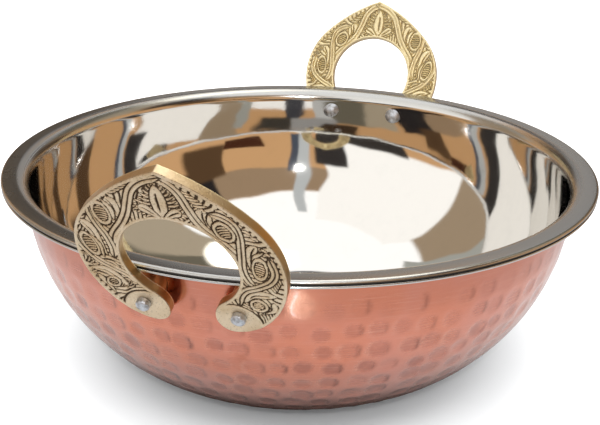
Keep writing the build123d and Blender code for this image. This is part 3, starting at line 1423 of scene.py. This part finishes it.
@dataclass
class CarvedFace:
    """The points of one face of a handle, and its relief. Millimetres."""

    shape: HandleShape
    columns: int = 268
    rows: int = 80
    row_squeeze: float = 0.12
    depth: float = 0.62
    sink: float = 0.05
    border_width: float = 1.25
    border_top: float = 0.62
    edge: float = 0.45
    edge_roundness: float = 0.9
    wave_height: float = 0.05
    wave_across: float = 0.9
    wave_start: float = 1.3
    wave_up: float = 0.7
    pad_groove: Range = (0.2, 0.6)
    pad_rise: float = 0.5
    ridge_count: int = 88
    ridge_slant: float = 1.1
    ridge_sway: float = 1.6
    ridge_sway_pace: float = 0.9
    ridge_top: float = 0.9
    ridge_range: Range = (0.06, 0.42)
    stroke_moat: Range = (0.14, 0.36)
    stroke_margin: float = 1.0
    stroke_slope: float = 0.28
    slope_share: float = 0.6
    vine_groove: Range = (0.12, 0.42)
    vine_floor: float = 0.25
    points: np.ndarray = field(init=False)
    soft: np.ndarray = field(init=False)
    relief: np.ndarray = field(init=False)
    height: np.ndarray = field(init=False)

    def __post_init__(self) -> None:
        """Lays out the points and carves them."""
        self.points = self.grid()
        flat = self.points.reshape(-1, 2)
        to_border, _ = distance_to(self.shape.border(), flat)
        rounding = np.clip(1 - to_border / self.edge, 0.0, 1.0)
        soft = self.edge * (1 - np.sqrt(1 - self.edge_roundness * rounding**2))
        height = self.carve(flat, to_border, soft)
        self.soft = soft.reshape(self.points.shape[:2])
        self.height = height.reshape(self.points.shape[:2])
        self.relief = 1 + self.height / self.depth

    def grid(self) -> np.ndarray:
        """The face's points.

        Returns:
            Columns of points from pad to pad, with rows from the outer side to the inner.
        """
        outer, sole, inner = self.shape.sides()
        outside = paced(outer, self.shape.middle, self.columns)
        inside = paced(inner, self.shape.middle, self.columns)
        share = np.linspace(0.0, 1.0, self.rows)
        share = share - self.row_squeeze * np.sin(4 * math.pi * share) / (2 * math.pi)
        across = share[None, :, None]
        down = np.linspace(0.0, 1.0, self.columns)[:, None, None]
        along = lengths(sole)
        end = np.stack([np.interp(share * along[-1], along, sole[:, axis]) for axis in (0, 1)], axis=1)
        start = outside[0] * (1 - share[:, None]) + inside[0] * share[:, None]
        ruled = outside[:, None, :] * (1 - across) + inside[:, None, :] * across
        crossed = start[None] * (1 - down) + end[None] * down
        corners = (
            (1 - across) * (1 - down) * outside[0]
            + across * (1 - down) * inside[0]
            + (1 - across) * down * outside[-1]
            + across * down * inside[-1]
        )
        right = ruled + crossed - corners
        left = right[::-1] * np.array([-1.0, 1.0])
        return np.concatenate([left, right[1:]])

    def carve(self, points: np.ndarray, to_border: np.ndarray, soft: np.ndarray) -> np.ndarray:
        """The height of the carving: 0 at the face, and less below it.

        Args:
            points: Points across and up the face.
            to_border: How far each lies from the outline.
            soft: How far the rounded edge lies below the face at each.

        Returns:
            A height for each point.
        """
        raised = self.ground(points)
        fans = [stroke for fan in FANS for stroke in fan.strokes()]
        for stroke in [*fans, *LEAVES, *VINES]:
            body, moat = self.stroke_share(stroke, points)
            raised = np.maximum(np.minimum(raised, moat), body)
        for eye in EYES:
            raised = self.carve_eye(eye, points, raised)
        for stroke in SLITS:
            raised = np.minimum(raised, 1 - self.stroke_share(stroke, points)[0])
        pad_across, pad_up = self.shape.pad
        within = self.shape.pad_radius - np.hypot(np.abs(points[:, 0]) - pad_across, points[:, 1] - pad_up)
        raised = np.minimum(raised, smoothstep(np.abs(within), *self.pad_groove))
        raised[within > 0] = smoothstep(within[within > 0], 0.0, self.pad_rise)
        rim = smoothstep(to_border, self.border_width, self.border_width * self.border_top)
        raised = np.maximum(raised, rim)
        across, up = points.T
        wave = np.sin(across * self.wave_across + self.wave_start) * np.cos(up * self.wave_up)
        return (raised - 1) * self.depth - soft + self.wave_height * wave - self.sink

    def ground(self, points: np.ndarray) -> np.ndarray:
        """The cut-away ground between the strokes, with the chisel's fine ridges across it.

        Args:
            points: Points across and up the face.

        Returns:
            How much it stands at each, from 0 to 1.
        """
        spokes = points - self.shape.middle
        turn = np.arctan2(spokes[:, 1], spokes[:, 0])
        radius = np.hypot(*spokes.T)
        slant = radius * self.ridge_slant + self.ridge_sway * np.sin(radius * self.ridge_sway_pace)
        ridges = 0.5 + 0.5 * np.cos(turn * self.ridge_count + slant)
        return self.ridge_top * smoothstep(ridges, *self.ridge_range)

    def stroke_share(self, stroke: Stroke, points: np.ndarray) -> tuple[np.ndarray, np.ndarray]:
        """How much a stroke stands at each point, and the groove that sets it off from what lies under it.

        Args:
            stroke: The stroke.
            points: The points.

        Returns:
            Values from 0, off the stroke, to 1, on it, and from 0, in its groove, to 1, clear of it.
        """
        line = stroke.curve()
        reach = stroke.half_width + self.stroke_margin
        low, high = line.min(axis=0) - reach, line.max(axis=0) + reach
        near = np.all((points > low) & (points < high), axis=1)
        share = np.zeros(len(points))
        clear = np.ones(len(points))
        if not near.any():
            return share, clear
        gap, along = distance_to(line, points[near])
        width = stroke.width_at(along)
        body = smoothstep(width - gap, 0.0, np.minimum(self.stroke_slope, self.slope_share * width))
        if stroke.form is Form.VINE:
            from_groove = smoothstep(gap, *self.vine_groove)
            body = np.minimum(body, self.vine_floor + (1 - self.vine_floor) * from_groove)
        share[near] = body
        clear[near] = smoothstep(gap - width, *self.stroke_moat)
        return share, clear

    @staticmethod
    def carve_eye(eye: Eye, points: np.ndarray, raised: np.ndarray) -> np.ndarray:
        """Carves one seed over what is there.

        Args:
            eye: The seed.
            points: The points.
            raised: What stands there so far.

        Returns:
            The new values.
        """
        turn = math.radians(eye.tilt)
        off = points - np.array(eye.centre)
        across = off[:, 0] * math.cos(turn) + off[:, 1] * math.sin(turn)
        up = off[:, 1] * math.cos(turn) - off[:, 0] * math.sin(turn)
        oval = np.hypot(across / eye.half_across, up / eye.half_up)
        size = (eye.half_across + eye.half_up) / 2
        outward = (oval - 1) * size
        bow = up + eye.bow[0] * across + eye.bow[1] * across**2
        bars = 0.5 + 0.5 * np.cos(2 * math.pi * eye.bars * bow / (2 * eye.half_up))
        bars_here = smoothstep(bars, *eye.bar_range) * smoothstep(outward, *eye.bar_end) * eye.bar_top
        ring = smoothstep(np.abs(outward - eye.ring / 2), eye.ring / 2, eye.ring * eye.ring_core)
        moat = smoothstep(np.abs(outward - eye.ring - eye.moat_place), *eye.moat_range)
        result = np.where(outward < eye.ring + eye.moat_end, np.minimum(raised, moat), raised)
        result = np.where(outward < 0, bars_here, result)
        return np.maximum(result, ring)


@dataclass
class Handle:
    """A cast brass handle: a carved horseshoe plate with a boss behind each pad."""

    wall: Wall
    carving: CarvedFace
    name: str
    node: str
    turn: float
    lean: float = math.radians(24.8)
    stand: float = 4.0 * MM
    thickness: float = 3.8 * MM
    side_rows: int = 7
    boss_radius: float = 4.8 * MM
    boss_columns: int = 48
    boss_start_share: float = 0.6
    boss_relief: float = 0.75
    seat_gap: float = 0.1 * MM
    rivet_spacing: float = 31.3 * MM
    rivet_drop: float = 14.7 * MM
    back_panel_start: float = -3.0
    back_dirt: float = 0.60
    search_depth: float = 20 * MM
    search_steps: int = 30
    sharp_angle: float = 55.0

    @property
    def out(self) -> np.ndarray:
        """The direction away from the bowl's axis."""
        return np.array([math.cos(self.turn), math.sin(self.turn), 0.0])

    @property
    def across(self) -> np.ndarray:
        """The direction across the handle."""
        return np.array([-math.sin(self.turn), math.cos(self.turn), 0.0])

    @property
    def way(self) -> np.ndarray:
        """The direction that the outer face looks in."""
        return self.out * math.cos(self.lean) - np.array([0.0, 0.0, math.sin(self.lean)])

    @property
    def up(self) -> np.ndarray:
        """The direction up the leaning face."""
        return np.cross(self.way, self.across)

    @property
    def origin(self) -> np.ndarray:
        """The middle of the outer face at the level of the rim."""
        return self.out * (self.wall.rim_radius + self.stand) + np.array([0.0, 0.0, self.wall.rim_height])

    def at(self, across: np.ndarray, up: np.ndarray, out: np.ndarray) -> np.ndarray:
        """Points in the row's frame.

        Args:
            across: How far across the handle, in metres.
            up: How far up the face.
            out: How far in front of the outer face.

        Returns:
            One row for each point.
        """
        return (
            self.origin
            + np.multiply.outer(across, self.across)
            + np.multiply.outer(up, self.up)
            + np.multiply.outer(out, self.way)
        )

    def to_wall(self, point: np.ndarray, depth: float) -> float:
        """How far behind a point the bowl's wall lies, along the handle's own direction.

        Args:
            point: Where the search starts, in front of the wall.
            depth: How far inside the shell's outside.

        Returns:
            The distance in metres.
        """
        near, far = 0.0, self.search_depth
        for _ in range(self.search_steps):
            middle = (near + far) / 2
            spot = point - self.way * middle
            if np.hypot(spot[0], spot[1]) > self.wall.radius_at(float(spot[2]), depth):
                near = middle
            else:
                far = middle
        return near

    def plate(self) -> tuple[np.ndarray, Faces, np.ndarray, np.ndarray, np.ndarray]:
        """The carved plate.

        Returns:
            Its points, its faces, the relief at each point, whether it is on the edge, and whether it is
            on the inner face, which looks towards the bowl.
        """
        carving = self.carving
        columns, rows = carving.points.shape[:2]
        grid = carving.points.reshape(-1, 2) * MM
        panel = carving.points[..., 1] > self.back_panel_start
        top = carving.height.ravel() * MM
        bottom = -self.thickness - np.where(panel, carving.height, -carving.soft - carving.sink).ravel() * MM
        points = [self.at(*grid.T, top), self.at(*grid.T, bottom)]
        number = np.arange(columns * rows).reshape(columns, rows)
        behind = number + columns * rows
        faces = tiles(number[:-1, 1:], number[1:, 1:], number[1:, :-1], number[:-1, :-1])
        faces += tiles(behind[:-1, :-1], behind[1:, :-1], behind[1:, 1:], behind[:-1, 1:])
        loop = np.concatenate([number[:, 0], number[-1, 1:], number[::-1, -1][1:], number[0, ::-1][1:-1]])
        count = len(loop)
        base = 2 * columns * rows
        previous = loop
        for row in range(1, self.side_rows):
            share = row / self.side_rows
            points.append(self.at(*grid[loop].T, top[loop] * (1 - share) + bottom[loop] * share))
            current = base + np.arange(count)
            faces += self.band(previous, current)
            previous = current
            base += count
        faces += self.band(previous, loop + columns * rows)
        relief = np.concatenate(
            [
                carving.relief.ravel(),
                np.where(panel, 1 - self.back_dirt * (1 - carving.relief), 1.0).ravel(),
                np.ones(count * (self.side_rows - 1)),
            ]
        )
        whole = np.concatenate(points)
        number = np.arange(len(whole))
        edge = number >= 2 * columns * rows
        inner = ~edge & (number >= columns * rows)
        return whole, faces, relief, edge, inner

    @staticmethod
    def band(first: np.ndarray, second: np.ndarray) -> Faces:
        """Faces between two closed loops of point numbers."""
        return tiles(first, second, np.roll(second, -1), np.roll(first, -1))

    def boss(self, side: int) -> tuple[np.ndarray, Faces]:
        """The round boss behind a pad, cut to the shell.

        Args:
            side: -1 or 1.

        Returns:
            Its points and faces.
        """
        count = self.boss_columns
        turns = np.arange(count) * 2 * math.pi / count
        across = side * self.rivet_spacing / 2 + self.boss_radius * np.cos(turns)
        up = -self.rivet_drop + self.boss_radius * np.sin(turns)
        start = np.full(count, -self.thickness * self.boss_start_share)
        root = self.at(across, up, start)
        reach = np.array([self.to_wall(point, -self.seat_gap) for point in root])
        foot = self.at(across, up, start - reach)
        middle = np.array([side * self.rivet_spacing / 2]), np.array([-self.rivet_drop])
        root_pole = self.at(*middle, start[:1])
        foot_pole = self.at(*middle, start[:1] - self.to_wall(root_pole[0], -self.seat_gap))
        points = np.concatenate([root, foot, root_pole, foot_pole])
        here = np.arange(count)
        following = (here + 1) % count
        faces = tiles(here, here + count, following + count, following)
        faces += tiles(np.full(count, 2 * count), here, following)
        faces += tiles(np.full(count, 2 * count + 1), following + count, here + count)
        return points, faces

    def build(self) -> bpy.types.Object:
        """Builds the handle.

        Returns:
            The piece, which stands for the plain handle.
        """
        points, faces, relief, edge, inner = self.plate()
        for side in (-1, 1):
            more, boss_faces = self.boss(side)
            faces += [tuple(index + len(points) for index in face) for face in boss_faces]
            points = np.concatenate([points, more])
            relief = np.concatenate([relief, np.full(len(more), self.boss_relief)])
            edge = np.concatenate([edge, np.ones(len(more))])
            inner = np.concatenate([inner, np.zeros(len(more))])
        fields = {"relief": relief, "side": edge, "inner": inner}
        piece = build_mesh(self.name, points, faces, Finish.BRASS, self.sharp_angle, fields)
        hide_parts(self.node)
        return piece


@dataclass
class Rivet:
    """A steel rivet: a domed head on the steel inside, and a peened tail on the pad outside."""

    handle: Handle
    side: int
    name: str
    node: str
    columns: int = 40
    shank_radius: float = 1.9 * MM
    head_radius: float = 3.9 * MM
    head_height: float = 1.9 * MM
    tail_radius: float = 2.3 * MM
    tail_height: float = 2.4 * MM
    tail_chamfer: float = 0.7 * MM
    crown: tuple[Spot, ...] = ((0.35, 0.02 * MM), (0.62, 0.12 * MM))
    chamfer_shape: tuple[Spot, ...] = ((0.8, 0.35), (0.25, 0.8), (0.0, 1.3))
    bulge_start: float = 0.4
    bulge: float = 1.02
    head_steps: int = 12
    dent: float = 0.09 * MM
    dented_rings: int = 8
    smoothing: int = 3
    side_dent: float = 0.9
    end_dent: float = 0.8
    end_start: float = 0.8
    sharp_angle: float = 38.0

    def section(self, grip: float) -> np.ndarray:
        """The rivet's (radius, place) section along its axis.

        Args:
            grip: How far the head's seat lies behind the pad.

        Returns:
            Its points from the tail's end to the top of the head.
        """
        gap = self.handle.seat_gap
        end = gap + self.tail_height
        radius, chamfer = self.tail_radius, self.tail_chamfer
        tail = [(0.0, end)]
        tail += [(radius * share, end - drop) for share, drop in self.crown]
        tail += [(radius - chamfer * inset, end - chamfer * drop) for inset, drop in self.chamfer_shape]
        tail += [(radius, gap + self.tail_height * self.bulge_start), (radius * self.bulge, gap)]
        tail += [(self.shank_radius, gap), (self.shank_radius, -grip)]
        dome = (self.head_radius**2 + self.head_height**2) / (2 * self.head_height)
        widest = math.asin(self.head_radius / dome)
        head = [
            (dome * math.sin(turn), -grip - self.head_height + dome * (1 - math.cos(turn)))
            for turn in np.linspace(widest, 0.0, self.head_steps)
        ]
        return np.array([*tail, *head])

    def build(self) -> bpy.types.Object:
        """Builds the rivet.

        Returns:
            The piece, which stands for the plain rivet.
        """
        handle = self.handle
        random = np.random.RandomState(SEED + self.side + round(10 * handle.turn))
        across = self.side * handle.rivet_spacing / 2
        start = handle.at(np.array([across]), np.array([-handle.rivet_drop]), np.array([0.0]))[0]
        grip = handle.to_wall(start, handle.wall.stack) + handle.seat_gap
        section = self.section(grip)
        points, faces = spin(section, self.columns)
        rows = len(section) - 2
        bumps = np.zeros(len(points))
        dented = self.dented_rings * self.columns
        bumps[:dented] = random.normal(0.0, self.dent, dented)
        smooth = bumps[: rows * self.columns].reshape(rows, self.columns)
        for _ in range(self.smoothing):
            smooth = (smooth + np.roll(smooth, 1, axis=1) + np.roll(smooth, -1, axis=1)) / 3
        spokes = points[:, :2] / np.maximum(np.hypot(points[:, 0], points[:, 1]), 1e-6)[:, None]
        push = np.concatenate([smooth.ravel() * self.side_dent, [0.0, 0.0]])
        points[:, :2] += spokes * np.where(points[:, 2] > handle.seat_gap, push, 0.0)[:, None]
        on_end = points[:, 2] > self.tail_height * self.end_start
        points[:, 2] += np.where(on_end, push * self.end_dent, 0.0)
        placed = (
            handle.at(np.full(len(points), across), np.full(len(points), -handle.rivet_drop), points[:, 2])
            + np.multiply.outer(points[:, 0], handle.across)
            + np.multiply.outer(points[:, 1], handle.up)
        )
        faces = [tuple(reversed(face)) for face in faces]
        piece = build_mesh(self.name, placed, faces, Finish.RIVET, self.sharp_angle)
        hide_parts(self.node)
        return piece


@dataclass(frozen=True)
class Patch:
    """A soft bright or dark shape in the surroundings, that only reflections show. Degrees."""

    turn: float
    rise: float
    half_turn: float
    half_rise: float
    colour: Colour
    soft: float


@dataclass(frozen=True)
class Lamp:
    """A soft light that the camera doesn't see. Metres and watts."""

    name: str
    place: Place
    aim: Place
    size: tuple[float, float]
    power: float
    colour: Colour = (1.0, 1.0, 1.0)
    mirrored: bool = True
    lights_matt: bool = True

    def hang(self) -> None:
        """Makes the light and hangs it in the scene."""
        data = bpy.data.lights.new(self.name, "AREA")
        data.shape = "RECTANGLE"
        data.size, data.size_y = self.size
        data.energy = self.power
        data.color = self.colour
        lamp = bpy.data.objects.new(self.name, data)
        bpy.context.scene.collection.objects.link(lamp)
        lamp.location = self.place
        lamp.rotation_mode = "QUATERNION"
        lamp.rotation_quaternion = (Vector(self.aim) - Vector(self.place)).to_track_quat("-Z", "Y")
        lamp.visible_camera = False
        lamp.visible_glossy = self.mirrored
        lamp.visible_diffuse = self.lights_matt


@dataclass
class Studio:
    """The floor, the surroundings, the soft lights and the camera."""

    lens: float = 62.18
    sensor: float = 36.0
    clip_start: float = 0.01
    camera_place: Place = (-0.37472, -0.11232, 0.21002)
    camera_back: Place = (-0.89196, -0.26666, 0.36510)
    camera_up: Place = (0.34458, 0.12184, 0.93082)
    floor_size: float = 6.0
    floor_grain: Grain = Grain(60 * MM)
    floor_shade: float = 0.985
    floor_roughness: float = 0.62
    floor_shine: float = 0.2
    floor_colour: Colour = (0.35, 0.35, 0.355)
    floor_seen: Colour = (0.985, 0.985, 0.99)
    # A painted light ring and a painted contact shadow round the bowl, that only reflections show.
    light_ring_colour: Colour = (0.60, 0.60, 0.60)
    contact_shadow_colour: Colour = (0.09, 0.06, 0.05)
    contact_shadow_range: Range = (0.092, 0.060)
    light_ring_range: Range = (0.21, 0.085)
    ceiling: Colour = (1.30, 1.29, 1.27)
    walls: Colour = (0.69, 0.40, 0.19)
    seen: Colour = (1.0, 1.0, 1.0)
    soft_light: Colour = (1.42, 1.435, 1.45)
    drift: Grain = Grain(0.38, 0.0)
    drift_turn: float = 16.0
    drift_rise: float = 5.0
    ceiling_range: Range = (44.0, 47.0)
    lamps: tuple[Lamp, ...] = (
        Lamp("overhead", (-0.35, -0.10, 1.5), (0.0, 0.0, 0.05), (1.6, 1.6), 30.0, mirrored=False),
        Lamp("flash", (-0.75, -0.23, 0.55), (0.0, 0.0, 0.05), (0.05, 0.05), 1.2),
        Lamp(
            "glint",
            (-0.1691, -0.0493, 0.0205),
            (-0.1018, -0.030, 0.069),
            (0.0018, 0.026),
            0.0042,
            colour=(0.42, 0.82, 1.0),
            lights_matt=False,
        ),
    )
    patches: tuple[Patch, ...] = (
        Patch(-131.0, 37.5, 39.0, 7.0, (0.38, 0.26, 0.16), 2.0),
        Patch(-53.0, 37.0, 39.0, 25.0, (1.22, 1.19, 1.14), 2.0),
        Patch(0.0, 22.0, 13.0, 26.0, (0.40, 0.30, 0.20), 3.0),
        Patch(17.0, 35.0, 4.0, 20.0, (0.42, 0.42, 0.38), 2.0),
        Patch(64.0, 42.0, 10.0, 15.0, (0.060, 0.060, 0.070), 3.0),
        Patch(94.0, 44.0, 8.0, 16.0, (0.63, 0.63, 0.62), 3.0),
        Patch(122.0, 42.0, 18.0, 18.0, (0.17, 0.15, 0.11), 4.0),
        Patch(152.0, 42.0, 14.0, 18.0, (0.48, 0.40, 0.29), 4.0),
        Patch(120.0, 72.0, 40.0, 9.0, (2.9, 2.75, 2.4), 4.0),
        Patch(-172.0, 40.0, 13.0, 15.0, (0.026, 0.022, 0.022), 4.0),
        Patch(-157.0, 20.0, 11.0, 9.0, (0.11, 0.060, 0.029), 3.0),
        Patch(-136.0, 10.5, 8.5, 2.6, (0.070, 0.024, 0.012), 1.0),
        Patch(-89.0, 17.0, 7.0, 9.0, (0.042, 0.036, 0.034), 2.0),
        Patch(-75.0, 7.0, 20.0, 4.0, (0.042, 0.036, 0.032), 2.0),
        Patch(-110.0, 19.0, 2.5, 12.0, (0.080, 0.092, 0.12), 1.5),
        Patch(-104.0, 32.0, 3.0, 26.0, (0.58, 0.60, 0.60), 2.0),
        Patch(84.0, 18.0, 18.0, 9.0, (0.38, 0.37, 0.36), 6.0),
        Patch(48.0, 18.0, 14.0, 9.0, (0.06, 0.052, 0.042), 6.0),
        Patch(110.0, 12.0, 14.0, 6.0, (0.060, 0.036, 0.020), 4.0),
    )

    def floor(self) -> None:
        """Lays the pale floor, with a painted light ring and a painted contact shadow round the bowl that
        only reflections show.
        """
        mesh = bpy.data.meshes.new("floor")
        half = self.floor_size / 2
        corners = [(-half, -half, 0), (half, -half, 0), (half, half, 0), (-half, half, 0)]
        mesh.from_pydata(corners, [], [(0, 1, 2, 3)])
        floor = bpy.data.objects.new("floor", mesh)
        bpy.context.scene.collection.objects.link(floor)
        material, bench = new_material("pale_floor")
        shaded = tuple(self.floor_shade * part for part in self.floor_colour)
        tone = bench.blend(bench.noise(self.floor_grain), self.floor_colour, shaded)
        away = bench.add("ShaderNodeVectorMath", {"operation": "LENGTH"}, {0: bench.place()}, output="Value")
        # Painted light: a paler ring of floor round the bowl.
        tone = bench.blend(away.between(*self.light_ring_range), tone, self.light_ring_colour)
        # Painted shadow: a dark disc of floor under the bowl.
        tone = bench.blend(away.between(*self.contact_shadow_range), tone, self.contact_shadow_colour)
        tone = bench.blend(bench.ray("Is Camera Ray"), tone, self.floor_seen)
        shader = bench.add(
            "ShaderNodeBsdfPrincipled",
            None,
            {"Base Color": tone, "Roughness": self.floor_roughness, "Specular IOR Level": self.floor_shine},
        )
        bench.add("ShaderNodeOutputMaterial", None, {"Surface": shader})
        mesh.materials.append(material)

    def surroundings(self) -> None:
        """Makes the soft light from all round, with darker and brighter shapes for the metal to reflect."""
        world = bpy.data.worlds.new("studio")
        bpy.context.scene.world = world
        world.use_nodes = True
        bench = Bench(world.node_tree)
        way = bench.add("ShaderNodeTexCoord", output="Generated")
        east, north, height = (bench.part(way, axis) for axis in "XYZ")
        rise = bench.add("ShaderNodeMath", {"operation": "ARCSINE"}, {0: height}) * math.degrees(1.0)
        turn = bench.add("ShaderNodeMath", {"operation": "ARCTAN2"}, {0: east, 1: north}) * math.degrees(1.0)
        drift = bench.noise(self.drift, way) - 0.5
        turn = turn + drift * self.drift_turn
        rise = rise + drift * self.drift_rise
        tone = bench.blend(rise.between(*self.ceiling_range), self.walls, self.ceiling)
        for patch in self.patches:
            aside = {0: turn - patch.turn, 1: 180.0, 2: -180.0}
            off = bench.add("ShaderNodeMath", {"operation": "WRAP"}, aside)
            inside = abs(off).between(patch.half_turn + patch.soft, patch.half_turn)
            level = abs(rise - patch.rise).between(patch.half_rise + patch.soft, patch.half_rise)
            tone = bench.blend(inside * level, tone, patch.colour)
        tone = bench.blend(bench.ray("Is Diffuse Ray"), tone, self.soft_light)
        tone = bench.blend(bench.ray("Is Camera Ray"), tone, self.seen)
        light = bench.add("ShaderNodeBackground", None, {"Color": tone, "Strength": 1.0})
        bench.add("ShaderNodeOutputWorld", None, {"Surface": light})

    def camera(self) -> None:
        """Sets the camera where the photograph was taken from."""
        data = bpy.data.cameras.new("camera")
        data.lens = self.lens
        data.sensor_width = self.sensor
        data.clip_start = self.clip_start
        camera = bpy.data.objects.new("camera", data)
        bpy.context.scene.collection.objects.link(camera)
        camera.location = self.camera_place
        back, up = Vector(self.camera_back), Vector(self.camera_up)
        camera.rotation_mode = "QUATERNION"
        level = (-back).to_track_quat("-Z", "Y")
        right = level @ Vector((1, 0, 0))
        roll = math.atan2(-up.dot(right), up.dot(level @ Vector((0, 1, 0))))
        camera.rotation_quaternion = level @ Quaternion((0, 0, 1), roll)
        bpy.context.scene.camera = camera

    def build(self) -> None:
        """Sets up the studio."""
        self.floor()
        self.surroundings()
        for lamp in self.lamps:
            lamp.hang()
        self.camera()
        bpy.context.scene.view_settings.view_transform = "Standard"


def main() -> None:
    """Builds the kadai, piece by piece, and then its studio."""
    logging.basicConfig(level=logging.INFO, format="%(message)s")
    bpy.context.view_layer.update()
    low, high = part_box("steel_bowl")
    wall = Wall(rim_radius=(high[0] - low[0]) / 2, rim_height=high[2])
    CopperShell(wall).build()
    SteelBowl(wall).build()
    carving = CarvedFace(HandleShape())
    for side, turn in {"right": 0.0, "left": math.pi}.items():
        handle = Handle(wall, carving, f"carved_handle_{side}", f"handle_{side}", turn)
        handle.build()
        ends = {-1: "front", 1: "back"} if side == "right" else {-1: "back", 1: "front"}
        for rivet_side, end in ends.items():
            Rivet(handle, rivet_side, f"peened_rivet_{side}_{end}", f"rivet_{side}_{end}").build()
    Studio().build()


if __name__ == "__main__":
    main()
